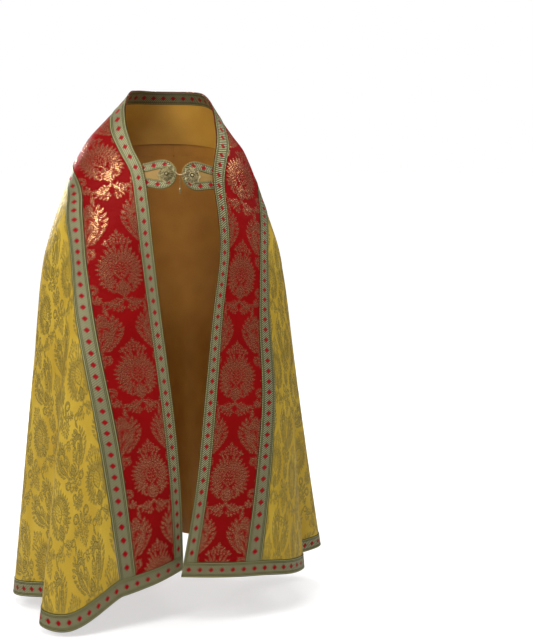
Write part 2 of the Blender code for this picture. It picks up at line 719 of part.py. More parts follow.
def make_clasp(cloth, braid, gold):
    frames = {name: tab_frame(side) for name, side in (("right", -1), ("left", 1))}
    for name, frame in frames.items():
        make_tab(f"clasp_tab_{name}", cloth, frame)
        make_tab_galloon(f"clasp_galloon_{name}", braid, frame)
        make_brooch(f"brooch_{name}", gold, frame)
    height = 2 * GAP + BRAID + HOOK_HEIGHT
    rim = BROOCH_CENTRE + (1 + BROOCH_SCALLOP) * BROOCH_RADIUS + GAP
    start = frames["right"] @ Vector((rim, 0, height))
    end = frames["left"] @ Vector((rim, 0, height))
    hook = []
    for i in range(HOOK_PARTS + 1):
        t = i / HOOK_PARTS
        hook.append(start.lerp(end, t) + HOOK_BOW * math.sin(math.pi * t))
    make_wire("clasp_hook", gold, hook, WIRE)
    make_drop(gold, hook[HOOK_PARTS // 2 + 1] - Vector((0, 0, WIRE + GAP)))


def clear_scene():
    for old in list(bpy.data.objects):
        bpy.data.objects.remove(old)


def main():
    clear_scene()
    gold_cloth = material("gold_brocade", GOLD_CLOTH, 0.45, 0.3)
    red_cloth = material("red_brocade", RED_CLOTH, 0.5, 0.1)
    tab_cloth = material("tab_cloth", TAB_CLOTH, 0.5, 0.3)
    braid = material("galloon", BRAID_COLOR, 0.5, 0.4)
    satin = material("lining_satin", SATIN, 0.35)
    bullion = material("bullion", BULLION, 0.5, 0.5)
    gold = material("antique_gold", ANTIQUE_GOLD, 0.35, 0.9)
    make_body(gold_cloth)
    make_orphrey("orphrey_right", red_cloth, -1)
    make_orphrey("orphrey_left", red_cloth, 1)
    make_band_braids(braid)
    make_hem_galloon(braid)
    make_neck_inside(braid, satin)
    make_hood(red_cloth, braid)
    make_hood_fringe(bullion)
    make_clasp(tab_cloth, braid, gold)


main()
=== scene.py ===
"""A cope in its worn pose: the cloth, braids, fringe and clasp over their solids, and a plain studio.

Metres, +Z up. The front faces -Y and +X is the wearer's left. Every cloth piece is laid on one worn
surface, which is described by a turn about the neck's axis (0 degrees at the centre back, positive
towards the wearer's left) and a level, with the tables of the solids. Small creases are added to it.
"""

import json
import math
from collections import namedtuple

import bmesh
import bpy
import numpy as np
from mathutils import Matrix, Vector

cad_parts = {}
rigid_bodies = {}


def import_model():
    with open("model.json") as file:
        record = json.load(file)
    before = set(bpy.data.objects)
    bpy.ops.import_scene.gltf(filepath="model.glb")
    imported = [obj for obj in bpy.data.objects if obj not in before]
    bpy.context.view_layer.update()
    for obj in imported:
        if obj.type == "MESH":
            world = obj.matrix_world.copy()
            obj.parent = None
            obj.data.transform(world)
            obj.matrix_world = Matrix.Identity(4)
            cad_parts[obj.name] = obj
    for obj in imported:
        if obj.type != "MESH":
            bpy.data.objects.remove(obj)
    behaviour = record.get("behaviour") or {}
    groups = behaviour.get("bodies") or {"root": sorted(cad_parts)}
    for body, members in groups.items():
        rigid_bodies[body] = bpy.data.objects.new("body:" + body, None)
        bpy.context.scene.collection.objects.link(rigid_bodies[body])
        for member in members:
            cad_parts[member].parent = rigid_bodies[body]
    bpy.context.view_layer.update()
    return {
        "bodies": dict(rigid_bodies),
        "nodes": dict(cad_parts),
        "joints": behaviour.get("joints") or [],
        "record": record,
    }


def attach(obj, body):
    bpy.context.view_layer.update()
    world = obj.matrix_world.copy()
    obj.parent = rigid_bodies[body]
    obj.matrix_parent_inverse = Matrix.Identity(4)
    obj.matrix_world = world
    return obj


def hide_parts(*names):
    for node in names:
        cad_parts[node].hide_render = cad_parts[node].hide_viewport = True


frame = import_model()


def table(columns, *rows):
    """Rows whose numbers are read by the names of their columns."""
    row_of = namedtuple("Row", columns)
    return [row_of(*row) for row in rows]


# ---------------------------------------------------------------- sizes, as in the solids

EDGE_HALF_LENGTH = 1.600
CENTRE_BACK_LENGTH = 1.480
ORPHREY_WIDTH = 0.210
GALLOON_WIDTH = 0.040
CENTRE_GALLOON_WIDTH = 0.033
CLOTH = 0.0020
BRAID = 0.0010
LINING = 0.0012
GAP = 0.0003
COLLAR_LEVEL = 0.056
YOKE_LEVEL = -0.135

HOOD_HALF_WIDTH = 0.292
HOOD_SIDE = 0.340
HOOD_DEPTH = 0.515
HOOD_GALLOON = 0.030
HOOD_TOP = 0.0006
HOOD_SLOPE = 0.975
HOOD_MIDDLE = Vector((0, 0.23))
HOOD_LIFT_TOP, HOOD_LIFT_YOKE, HOOD_LIFT_TIP = 0.0040, 0.0075, 0.0140
HOOD_TIP_LENGTH, HOOD_TIP_POINT, HOOD_TIP_ROUND = 2.0, 1.05, 0.46
FRINGE_LENGTH, FRINGE_SIDE_LENGTH = 0.070, 0.062

LEVELS = table(
    "z right left front back",
    (0.090, 0.092, 0.066, 0.060, 0.084), (0.056, 0.118, 0.086, 0.074, 0.100),
    (0.020, 0.147, 0.108, 0.086, 0.121), (-0.035, 0.200, 0.143, 0.106, 0.145),
    (-0.080, 0.243, 0.175, 0.126, 0.162), (-0.120, 0.270, 0.205, 0.145, 0.175),
    (-0.180, 0.302, 0.230, 0.166, 0.189), (-0.250, 0.327, 0.254, 0.183, 0.200),
    (-0.335, 0.357, 0.286, 0.197, 0.209), (-0.440, 0.387, 0.318, 0.207, 0.216),
    (-0.600, 0.408, 0.340, 0.218, 0.228), (-0.860, 0.432, 0.362, 0.237, 0.254),
    (-1.150, 0.452, 0.385, 0.256, 0.282), (-1.500, 0.474, 0.415, 0.278, 0.314))
SQUARENESS = table(
    "z right_front left_front back",
    (0.100, 2.0, 2.0, 2.0), (-0.200, 2.1, 2.1, 2.2),
    (-0.600, 2.3, 2.5, 2.3), (-1.500, 2.5, 2.9, 2.3))
FOLDS = table(
    "turn out before after top",
    (-192, -0.050, 26, 26, -0.75), (-126, 0.082, 24, 10, -0.20), (-111, -0.058, 9, 13, -0.30),
    (-90, 0.034, 16, 17, -0.72), (-66, -0.055, 15, 9, -0.35), (-52, 0.085, 9, 19, -0.25),
    (-29, -0.034, 15, 12, -0.45), (-13, 0.050, 11, 16, -0.50), (12, -0.046, 16, 14, -0.55),
    (36, 0.058, 17, 13, -0.42), (56, -0.040, 13, 13, -0.50), (74, 0.072, 13, 9, -0.25),
    (90, -0.052, 10, 12, -0.38), (108, -0.012, 12, 12, -0.45))
HEM = table(
    "turn z",
    (-186, -1.330), (-166, -1.337), (-150, -1.384), (-133, -1.478), (-112, -1.440),
    (-90, -1.462), (-46, -1.420), (-9, -1.395), (38, -1.375), (73, -1.385),
    (107, -1.375), (136, -1.345), (180, -1.335))
STATION = "along edge_turn edge_z seam_turn seam_z"
RIGHT_BAND = table(
    STATION,
    (0, 0, COLLAR_LEVEL, 0, YOKE_LEVEL), (0.065, 33, 0.056, 14, -0.135),
    (0.130, 66, 0.056, 28, -0.138), (0.200, 93, 0.046, 44, -0.143),
    (0.265, 111, 0.000, 61, -0.152), (0.330, 125, -0.055, 78, -0.168),
    (0.395, 138, -0.110, 93, -0.195), (0.460, 151, -0.170, 102, -0.235),
    (0.560, 158.5, -0.265, 107.5, -0.305), (0.660, 162.5, -0.365, 114, -0.395),
    (0.860, 169, -0.565, 123.5, -0.587), (1.110, 177, -0.820, 135, -0.840),
    (1.360, 182, -1.070, 143, -1.090), (1.600, 183.5, -1.328, 150, -1.384))
LEFT_BAND = table(
    STATION,
    (0, 0, COLLAR_LEVEL, 0, YOKE_LEVEL), (0.065, 35, 0.054, 15, -0.137),
    (0.130, 70, 0.044, 31, -0.145), (0.200, 98, 0.014, 48, -0.158),
    (0.265, 115, -0.030, 64, -0.182), (0.330, 126, -0.078, 79, -0.215),
    (0.395, 137, -0.130, 90, -0.250), (0.460, 144, -0.190, 97, -0.285),
    (0.560, 145, -0.290, 107.5, -0.350), (0.660, 146, -0.390, 115, -0.430),
    (0.860, 153.5, -0.580, 120, -0.600), (1.110, 161, -0.820, 121.5, -0.835),
    (1.360, 168, -1.070, 128, -1.080), (1.600, 178.5, -1.335, 136, -1.345))
NORMAL_STEP = 0.002
FOLD_GROWTH = 1.15            # how fast a fold opens below its top
PLEAT_REACH = 0.8             # share of the way to the hem after which the body's folds are spread evenly

# ---------------------------------------------------------------- the worn surface

def read(rows, at, column):
    """Values of a table's column at places between its rows, on a smooth curve through them."""
    keys = np.array([row[0] for row in rows], float)
    values = np.array([getattr(row, column) for row in rows], float)
    if keys[0] > keys[-1]:
        keys, values = keys[::-1], values[::-1]
    slopes = np.empty_like(values)
    slopes[1:-1] = (values[2:] - values[:-2]) / (keys[2:] - keys[:-2])
    slopes[0] = (values[1] - values[0]) / (keys[1] - keys[0])
    slopes[-1] = (values[-1] - values[-2]) / (keys[-1] - keys[-2])
    at = np.asarray(at, float)
    low = np.clip(np.searchsorted(keys, at, side="right") - 1, 0, len(keys) - 2)
    span = keys[low + 1] - keys[low]
    t = np.clip((at - keys[low]) / span, 0, 1)
    on_curve = ((2 * t ** 3 - 3 * t ** 2 + 1) * values[low]
                + (t ** 3 - 2 * t ** 2 + t) * span * slopes[low]
                + (3 * t ** 2 - 2 * t ** 3) * values[low + 1]
                + (t ** 3 - t ** 2) * span * slopes[low + 1])
    past = at - np.clip(at, keys[0], keys[-1])
    return on_curve + past * np.where(past < 0, slopes[0], slopes[-1])


def ease(t):
    t = np.clip(t, 0, 1)
    return t * t * (3 - 2 * t)


def folds_out(turn, z):
    hem = read(HEM, turn, "z")
    out = np.zeros_like(z)
    for fold in FOLDS:
        off = turn - fold.turn
        away = np.abs(off) / np.where(off < 0, fold.before, fold.after)
        opened = np.clip((fold.top - z) / (fold.top - hem), 0, None)
        shape = np.where(away < 1.5, np.cos(away * math.pi / 3) ** 2, 0)
        out += fold.out * shape * opened ** FOLD_GROWTH
    return out


# Small creases of the worn cloth: a ridge or a groove from one place to another.
CREASES = table(
    "turn z end_turn end_z out half_width",
    # right front, from the shoulder down the band and the body
    (-96, -0.150, -120, -0.420, 0.0035, 0.020), (-112, -0.210, -128, -0.560, -0.0030, 0.022),
    (-134, -0.520, -143, -0.950, 0.0035, 0.026), (-150, -0.720, -160, -1.200, -0.0030, 0.024),
    (-108, -0.480, -114, -0.980, 0.0045, 0.024), (-122, -0.700, -129, -1.260, 0.0040, 0.020),
    (-98, -0.640, -101, -1.300, -0.0050, 0.024), (-84, -0.330, -86, -0.860, 0.0045, 0.026),
    # left front
    (92, -0.150, 108, -0.420, 0.0035, 0.020), (118, -0.480, 126, -0.900, 0.0030, 0.024),
    (138, -0.640, 147, -1.120, -0.0030, 0.026), (104, -0.560, 109, -1.120, 0.0040, 0.020),
    (94, -0.460, 96, -1.050, -0.0045, 0.022), (80, -0.380, 84, -0.900, 0.0045, 0.024),
    (64, -0.520, 66, -1.150, 0.0040, 0.022),
    # back, below the hood and beside it
    (-60, -0.420, -64, -1.020, 0.0040, 0.024), (-46, -0.620, -43, -1.220, 0.0045, 0.020),
    (-34, -0.760, -38, -1.300, -0.0040, 0.020), (-20, -0.690, -22, -1.260, 0.0045, 0.018),
    (-6, -0.720, -3, -1.300, 0.0040, 0.020), (7, -0.680, 5, -1.120, -0.0035, 0.022),
    (23, -0.700, 27, -1.280, 0.0045, 0.018), (41, -0.560, 46, -1.220, -0.0040, 0.022),
    (52, -0.430, 54, -0.880, 0.0035, 0.024))


def creases_out(turn, z):
    out = np.zeros_like(z)
    for crease in CREASES:
        middle = radius_plain((crease.turn + crease.end_turn) / 2, (crease.z + crease.end_z) / 2)
        metre = math.radians(1) * middle
        run = np.array([(crease.end_turn - crease.turn) * metre, crease.end_z - crease.z])
        length = np.linalg.norm(run)
        run /= length
        dx, dz = (turn - crease.turn) * metre, z - crease.z
        along = (dx * run[0] + dz * run[1]) / length
        off = (dz * run[0] - dx * run[1]) / crease.half_width
        ends = np.where((along > 0) & (along < 1), np.sin(np.clip(along, 0, 1) * math.pi) ** 0.7, 0)
        out += crease.out * ends * np.exp(-off ** 2)
    return out


def radius_plain(turn, z):
    side = np.sin(np.radians(turn))
    back = np.cos(np.radians(turn))
    right, behind = turn < 0, back > 0
    half_width = np.where(right, read(LEVELS, z, "right"), read(LEVELS, z, "left"))
    depth = np.where(behind, read(LEVELS, z, "back"), read(LEVELS, z, "front"))
    front_square = np.where(right, read(SQUARENESS, z, "right_front"), read(SQUARENESS, z, "left_front"))
    square = np.where(behind, read(SQUARENESS, z, "back"), front_square)
    return (np.abs(side / half_width) ** square + np.abs(back / depth) ** square) ** (-1 / square)


def radius(turn, z):
    """Distance from the neck's axis to the worn surface."""
    return radius_plain(turn, z) + folds_out(turn, z) + creases_out(turn, z)


def bare(turn, z):
    r, a = radius(turn, z), np.radians(turn)
    return np.stack([r * np.sin(a), r * np.cos(a), z], axis=-1)


def on_surface(turn, z, lift):
    """Points of the worn surface, moved out along its normal by lift."""
    turn, z, lift = np.broadcast_arrays(*(np.asarray(v, float) for v in (turn, z, lift)))
    points = bare(turn, z)
    step = np.degrees(NORMAL_STEP / np.linalg.norm(points[..., :2], axis=-1))
    round_it = bare(turn + step, z) - bare(turn - step, z)
    up_it = bare(turn, z + NORMAL_STEP) - bare(turn, z - NORMAL_STEP)
    normal = np.cross(up_it, round_it)
    normal /= np.linalg.norm(normal, axis=-1, keepdims=True)
    return points + normal * lift[..., None]


def band_place(along, column):
    along = np.asarray(along, float)
    return np.where(along < 0, read(RIGHT_BAND, np.abs(along), column),
                    read(LEFT_BAND, np.abs(along), column))


def on_band(along, across, lift):
    """Points of the band: along the straight edge (negative on the right), across it from the edge."""
    along, across = np.asarray(along, float), np.asarray(across, float)
    t = across / ORPHREY_WIDTH
    side = np.where(along < 0, -1.0, 1.0)
    turn = side * (band_place(along, "edge_turn") * (1 - t) + band_place(along, "seam_turn") * t)
    z = band_place(along, "edge_z") * (1 - t) + band_place(along, "seam_z") * t
    return on_surface(turn, z, lift)


def fan_length(angle):
    """Length of the cut from the middle of the body's straight edge to the hem."""
    side = np.sin(angle) / EDGE_HALF_LENGTH
    down = np.cos(angle) / (CENTRE_BACK_LENGTH - ORPHREY_WIDTH)
    return 1 / np.hypot(side, down)


def on_body(angle, reach, lift):
    """Points of the body, which fans out from the middle of the yoke's seam to the hem."""
    angle, reach = np.asarray(angle, float), np.asarray(reach, float)
    side = np.where(angle < 0, -1, 1)
    along = side * np.maximum(reach, 1e-9) * EDGE_HALF_LENGTH
    last_turn, last_z = (band_place(side * EDGE_HALF_LENGTH, column) for column in ("seam_turn", "seam_z"))
    down = np.maximum(np.cos(angle), 0.0)
    even = angle / (math.pi / 2)
    spread = np.sin(angle) + (even - np.sin(angle)) * ease(reach / PLEAT_REACH)
    centre_hem = read(HEM, 0, "z")
    z = (YOKE_LEVEL + reach * (centre_hem - YOKE_LEVEL)) * down + band_place(along, "seam_z") * (1 - down)
    hem_reached = centre_hem * down + last_z * (1 - down)
    z = z + (read(HEM, last_turn * even, "z") - hem_reached) * reach ** 2
    return on_surface(band_place(along, "seam_turn") * spread, z, lift)


# ---------------------------------------------------------------- making cloth

def link(name, bm, materials, sharp=None):
    """Make an object of a mesh. Edges that turn by more than sharp degrees stay sharp."""
    bmesh.ops.recalc_face_normals(bm, faces=bm.faces)
    mesh = bpy.data.meshes.new(name)
    bm.to_mesh(mesh)
    bm.free()
    mesh.shade_smooth()
    if sharp is not None:
        mesh.set_sharp_from_angle(angle=math.radians(sharp))
    for look in materials:
        mesh.materials.append(look)
    made = bpy.data.objects.new(name, mesh)
    bpy.context.scene.collection.objects.link(made)
    return made


RIM_TURN = 55                  # degrees: a cloth's rim is sharper than any of its folds


def wall(name, columns, rows, place, flat, lifts, materials, profile=None):
    """Cloth over a grid of sheet coordinates, with an inner and an outer face and a rim between them.
    place gives its points, flat its place in the cut, which the woven pattern follows, and profile how
    far the outer face stands up at each row."""
    bm = bmesh.new()
    bmesh.ops.create_grid(bm, x_segments=len(columns) - 1, y_segments=len(rows) - 1, size=1)
    inner_faces = set(bm.faces)
    made = bmesh.ops.extrude_face_region(bm, geom=bm.faces[:], use_keep_orig=True)
    outer = {item for item in made["geom"] if isinstance(item, bmesh.types.BMVert)}
    bm.verts.index_update()
    is_outer = np.array([vert in outer for vert in bm.verts])
    at = np.array([vert.co[:2] for vert in bm.verts])
    column_number = np.rint((at[:, 0] + 1) / 2 * (len(columns) - 1)).astype(int)
    row_number = np.rint((at[:, 1] + 1) / 2 * (len(rows) - 1)).astype(int)
    x, y = np.array(columns, float)[column_number], np.array(rows, float)[row_number]
    lift = np.where(is_outer, lifts[1], lifts[0])
    if profile is not None:
        lift = lift + np.where(is_outer, np.array(profile, float)[row_number], 0)
    points = place(x, y, lift)
    for vert, point in zip(bm.verts, points):
        vert.co = point
    cut = flat(x, y)
    for face in bm.faces:
        face.material_index = len(materials) - 1 if face in inner_faces else 0
    piece = link(name, bm, materials, RIM_TURN)
    lay_flat(piece.data, cut)
    return piece


def lay_flat(mesh, cut, name="cut"):
    """Keep each point's place in the cut, in metres, as the piece's UV map."""
    layer = mesh.uv_layers.new(name=name)
    corners = np.empty(len(mesh.loops), np.int64)
    mesh.loops.foreach_get("vertex_index", corners)
    layer.data.foreach_set("uv", np.ascontiguousarray(cut[corners], np.float32).ravel())


def pair(first, second):
    """Columns of two numbers, such as places in a flat cut."""
    return np.stack([first, second], axis=-1)


def evenly(start, end, step):
    count = max(1, round(abs(end - start) / step))
    return [start + (end - start) * i / count for i in range(count + 1)]


# ---------------------------------------------------------------- materials

class Graph:
    """Short ways to add nodes to a material's or a node group's tree."""

    def __init__(self, tree):
        self.tree = tree
        self.shader = tree.nodes.get("Principled BSDF")

    def add(self, kind, *values, output=0, **settings):
        node = self.tree.nodes.new("ShaderNode" + kind)
        for name, value in settings.items():
            setattr(node, name, value)
        for socket, value in zip(node.inputs, values):
            self.feed(socket, value)
        return node.outputs[output]

    def feed(self, socket, value):
        if isinstance(value, bpy.types.NodeSocket):
            self.tree.links.new(value, socket)
        elif value is not None:
            socket.default_value = value

    def math(self, operation, *values, clamp=False):
        return self.add("Math", *values, operation=operation, use_clamp=clamp)

    def line(self, value, factor, plus, clamp=False):
        return self.math("MULTIPLY_ADD", value, factor, plus, clamp=clamp)

    def times(self, first, second):
        return self.math("MULTIPLY", first, second)

    def above(self, value, level, sharpness):
        """0 below a level and 1 above it, with a soft step between."""
        return self.line(self.math("SUBTRACT", value, level), sharpness, 0.5, clamp=True)

    def wave(self, value, spacing):
        """Rises from 0 to 1 and falls again over each spacing."""
        return self.math("DIVIDE", self.math("PINGPONG", value, spacing / 2), spacing / 2)

    def vector(self, operation, *values):
        return self.add("VectorMath", *values, operation=operation)

    def tint(self, factor, first, second):
        """Colour between two, each a colour or a socket."""
        node = self.tree.nodes.new("ShaderNodeMix")
        node.data_type = "RGBA"
        for name, value in (("Factor_Float", factor), ("A_Color", first), ("B_Color", second)):
            socket = next(socket for socket in node.inputs if socket.identifier == name)
            is_color = not isinstance(value, (float, int, bpy.types.NodeSocket))
            self.feed(socket, (*value, 1) if is_color else value)
        return next(socket for socket in node.outputs if socket.identifier == "Result_Color")

    def blend(self, factor, first, second):
        """Number between two."""
        return self.line(factor, self.math("SUBTRACT", second, first), first)

    def stripe(self, value, middle, half_width, soft):
        """1 where a value lies within half_width of the middle, 0 elsewhere."""
        off = self.math("ABSOLUTE", self.math("SUBTRACT", value, middle))
        return self.line(off, -1 / soft, half_width / soft + 0.5, clamp=True)

    def split(self, vector):
        return self.add("SeparateXYZ", vector).node.outputs

    def spread(self, value):
        return self.add("CombineXYZ", value, value, value)

    def noise(self, place, scale, detail=2.0, roughness=0.5):
        return self.add("TexNoise", place, None, scale, detail, roughness)

    def cut(self, name="cut"):
        return self.add("UVMap", uv_map=name)

    def shade(self, name, value):
        self.feed(self.shader.inputs[name], value)

    def bump(self, height, distance, strength=1.0):
        normal = self.add("Bump", strength, distance)
        self.feed(normal.node.inputs["Height"], height)
        self.shade("Normal", normal)


def new_material(name, **constants):
    """Material and its graph. Numbers and colours that are the same all over go on the shader itself."""
    made = bpy.data.materials.new(name)
    made.use_nodes = True
    graph = Graph(made.node_tree)
    for socket, value in constants.items():
        graph.shade(socket.replace("_", " "), value)
    return made, graph


# The damask's pattern: a traditional one of two columns of motifs, side by side and mirrored. Places are
# in millimetres across from a column's axis and down from the top of its heart, or for the second column
# from the level of that heart. A leaf is pointed at both ends. It leans outwards from straight up, bends
# to one side, and swells at its foot (+) or its tip (-).
TILE_HALF_WIDTH, TILE_LENGTH = 95, 293
SECOND_COLUMN_TOP = -115
Leaf = namedtuple("Leaf", "x down length width lean bend swell", defaults=(0, 0, 0))
# A disc with another disc taken out of it.
CRESCENT = "x down radius cut_x cut_down cut_radius"


def leaves(*rows):
    """Leaves of rows of numbers, in the order of a leaf's columns."""
    return [Leaf(*row) for row in rows]


def rays(radius, start, end, count, length, width, bend=0.0):
    """Leaves on an arc round the middle of the fan. They point away from it."""
    angles = [start + (end - start) * i / (count - 1) for i in range(count)]
    return [Leaf(radius * math.sin(math.radians(angle)), FAN_LEVEL - radius * math.cos(math.radians(angle)),
                 length, width, angle, bend) for angle in angles]


HEART = leaves(
    (5.5, 15, 13, 4.2, 34, 0.5, -0.2), (0, 27, 12, 5.0, 0, 0, -0.3), (17, 18, 6.5, 3.2, 35, -0.4),
    (18, 25, 6.5, 3.0, 80, -0.4), (11, 25, 8, 3.2, 50, 0.3), (14, 33, 7, 3.0, 125, -0.4),
    (8, 34, 9, 3.2, 155, 0.2), (9, 42, 6, 2.6, 165, -0.3), (3.5, 42, 6, 2.4, 170, 0.2))
FLEUR = leaves(
    (0, 63, 14, 5.0, 0, 0, 0.5), (13, 76, 17, 3.6, 6, 0.9), (6, 84, 9, 3.0, -28, 0.3),
    (24, 92, 15, 3.6, 104, 0.7), (34, 84, 5.5, 2.6, 20, 0.3), (39, 89, 5.5, 2.6, 55, 0.3),
    (40, 96, 5, 2.4, 95), (35, 100, 5, 2.4, 140), (28, 99, 5, 2.6, 165), (22, 84, 6, 2.4, 40, 0.5),
    (17, 99, 7, 2.8, 60, 0.4), (0, 97, 6, 3.6), (9, 97, 7, 2.8, 40, 0.3), (7, 106, 5, 2.6, 20),
    (15, 107, 5, 2.6, 45), (0, 109, 5, 2.6), (19, 114, 4, 2.2, 90), (11, 115, 5, 2.6, 30),
    (4.5, 117, 4, 2.4, 10), (13, 122, 4, 2.2, 120), (7, 124, 4, 2.4, 150), (0, 125, 4, 2.6),
    (8, 131, 3.5, 2.0, 140), (0, 134, 7, 4.0, 0, 0, 0.4))
FLOWER = leaves(
    (11, 151, 5, 1.6, 60, 0.6), (7, 162, 4.5, 2.4, 100, -0.3), (5, 170, 5.5, 2.4, 155), (0, 166, 4, 2.2),
    (0, 175, 3.0, 1.6))
WING = leaves(
    # from the bracket beside it down to the wing
    (46, 124, 15, 3.6, -10, -0.8), (40, 142, 11, 5.0, -28, -0.3),
    # the thick leaf that sweeps from the arch to the base
    (47, 202, 40, 7.0, 22, 1.2, -0.2), (33, 222, 27, 4.0, 24, 0.9), (41, 186, 14, 5.0, 10, 0.8),
    (33, 196, 13, 2.6, 18, 0.6),
    # feathers outside
    (59, 142, 9, 3.4, 25, 0.5), (66, 152, 9, 3.4, 45, 0.6), (71, 164, 9, 3.6, 60, 0.6),
    (74, 177, 9, 3.6, 62, 0.6), (71, 190, 9, 3.6, 64, 0.6), (65, 202, 9, 3.4, 60, 0.6),
    (58, 213, 9, 3.2, 58, 0.6), (50, 223, 9, 3.2, 54, 0.6), (42, 232, 9, 3.0, 50, 0.6),
    (58, 158, 11, 3.2, 20, 0.7), (62, 172, 10, 3.0, 28, 0.7),
    # feathers inside the arch's foot
    (32, 139, 8, 3.0, -8, -0.5), (25, 145, 8, 3.2, -35, -0.6), (20, 154, 8, 3.2, -60, -0.6),
    (19, 164, 7, 3.0, -80, -0.6), (22, 172, 6, 2.6, -105, -0.5),
    # the small curled leaf
    (19, 212, 18, 3.2, -6, -0.8), (25, 205, 14, 2.6, 4, -0.6), (12, 199, 7, 2.6, -30, -0.6),
    (10, 209, 7, 2.6, -38, -0.6), (11, 220, 7, 2.4, -40, -0.5),
    # base
    (0, 231, 17, 9.5, 0, 0, 0.45), (13, 236, 12, 3.0, 12, 0.5), (22, 243, 12, 2.6, 50, 0.6))
BASE = leaves(
    (12, 250, 15, 3.2, 82, 0.8), (0, 256, 8, 4.0), (7, 264, 12, 2.8, 60, -0.6), (0, 272, 9, 3.0),
    (8, 277, 8, 2.6, 55, 0.5), (6, 285, 5, 2.2, 150), (0, 286, 7, 4.0, 0, 0, 0.3),
    (37, 252, 6, 2.6, 60, 0.3))
FIRST_COLUMN = HEART + FLEUR + FLOWER + WING + BASE
FIRST_CURLS = table(
    CRESCENT,
    (13, 8, 8, 14.5, 10.5, 5.0), (24, 62, 12.5, 25.5, 64.5, 7.6), (27, 69, 4.0, 27, 66, 1.0),
    (0, 154, 6.5, 0, 155, 3.0), (39, 168, 19, 39, 178, 12.5), (20, 188, 8, 21, 191, 4.6),
    (30, 261, 11.5, 29, 263.5, 6.6), (26, 265, 3.5, 26, 262, 1.0), (18, 278, 7.5, 17.5, 276, 4.2))

FAN_LEVEL = 12
FAN = (
    rays(46, 20, 142, 10, 10, 3.3, 0.35) + rays(37, 12, 150, 11, 10, 2.7, 0.3)
    + rays(28, 0, 120, 8, 7.5, 2.7)
    + leaves(
        (0, -28, 11, 3.4), (9, -44, 10, 3.0, 12), (19, -40, 9, 3.0, 26), (28, -34, 9, 3.0, 38),
        # crown
        (0, -82, 8, 3.4), (7, -76, 5, 2.4, 50), (0, -68, 5, 2.6), (9, -67, 5, 2.6, 30),
        (15, -72, 4.5, 2.4, 10), (18, -64, 5, 2.6, 70), (8, -58, 5, 2.4, 20), (0, -57, 5, 2.4),
        (16, -56, 5, 2.4, 35),
        (27, -61, 6, 2.8, 20), (31, -55, 5, 2.6, 75), (24, -51, 5, 2.4, 40),
        # lower leaves
        (27, 52, 11, 3.2, 135, -0.5), (38, 52, 9, 3.4, 120, -0.4), (31, 60, 8, 3.0, 140, -0.3),
        (45, 45, 8, 3.2, 100, -0.4)))
VASE = leaves(
    (0, 62, 21, 10.5, 0, 0, -0.35), (12, 57, 11, 2.8, 28, 0.8), (10, 74, 9, 2.6, 30, 0.6), (0, 87, 8, 2.6),
    (5, 93, 8, 2.6, 140, -0.5), (12, 99, 12, 4.4, 128, 0.5), (21, 107, 13, 6.0, 115, 0.9),
    (31, 103, 9, 3.6, 60, 0.7), (16, 90, 5, 2.2, 45), (23, 94, 5, 2.2, 30), (29, 96, 4, 2.0, 20),
    (10, 112, 6, 2.4, 150), (12, 122, 6, 2.8, 165), (20, 122, 5, 2.4, 150), (28, 118, 5, 2.2, 140),
    (5, 116, 4, 2.0, 160))
SECOND_COLUMN = FAN + VASE
SECOND_CURLS = table(
    CRESCENT,
    (22, 65, 7.5, 21.5, 63, 4.4), (42, 107, 9.5, 43, 109.5, 5.6))
# lozenge in the middle of the fan: a hole in it, with small leaves inside
LOZENGE = Leaf(0, FAN_LEVEL, 27, 18.5)
LOZENGE_LEAVES = leaves(
    (0, -4, 4, 1.8), (0, 6, 4, 2.0), (5, 1, 3.5, 1.6, 30), (6, 10, 3.5, 1.8, 30), (11, 7, 3.5, 1.6, 50),
    (0, 16, 4, 2.0), (6, 19, 3.5, 1.8, 150), (12, 15, 3, 1.5, 90), (0, 26, 3.5, 1.8), (5, 28, 3, 1.5, 160))

# Colours of the threads, as linear red, green and blue
# BRAID_DARK and BRAID_LIGHT are partly the braid's own threads, partly painted shade in its rib hollows and
# painted highlight on its rib crests.
BRAID_LIGHT, BRAID_DARK = (0.58, 0.54, 0.29), (0.050, 0.050, 0.025)
BRAID_LINE_DARK, BRAID_LINE_PALE = (0.022, 0.022, 0.008), (0.42, 0.40, 0.17)
BRAID_BEAD, BRAID_EDGE = (0.52, 0.49, 0.22), (0.030, 0.028, 0.010)
# BULLION_SHADE is painted shade in the grooves of the bullion's twist, as well as random tone.
BULLION_LIGHT, BULLION_SHADE = (0.52, 0.34, 0.13), (0.16, 0.080, 0.026)
BRAID_RED, BRAID_RED_SHADE = (0.48, 0.003, 0.009), (0.22, 0.002, 0.005)


def threes(rows):
    """Rows in threes, because a vector node works out three leaves at once. The last row fills up."""
    return [(rows[i:i + 3] + rows[-1:] * 2)[:3] for i in range(0, len(rows), 3)]


def line_of(graph, across, down, rows):
    """Three straight-line functions of a place: each row has its across, its down and its constant part."""
    across_parts, down_parts, constants = zip(*rows)
    return graph.vector("MULTIPLY_ADD", across, across_parts,
                        graph.vector("MULTIPLY_ADD", down, down_parts, constants))


def highest(graph, shapes):
    """Highest number of several vectors."""
    while len(shapes) > 1:
        shapes = shapes[2:] + [graph.vector("MAXIMUM", shapes[0], shapes[1])]
    x, y, z = graph.split(shapes[0])
    return graph.math("MAXIMUM", x, graph.math("MAXIMUM", y, z))


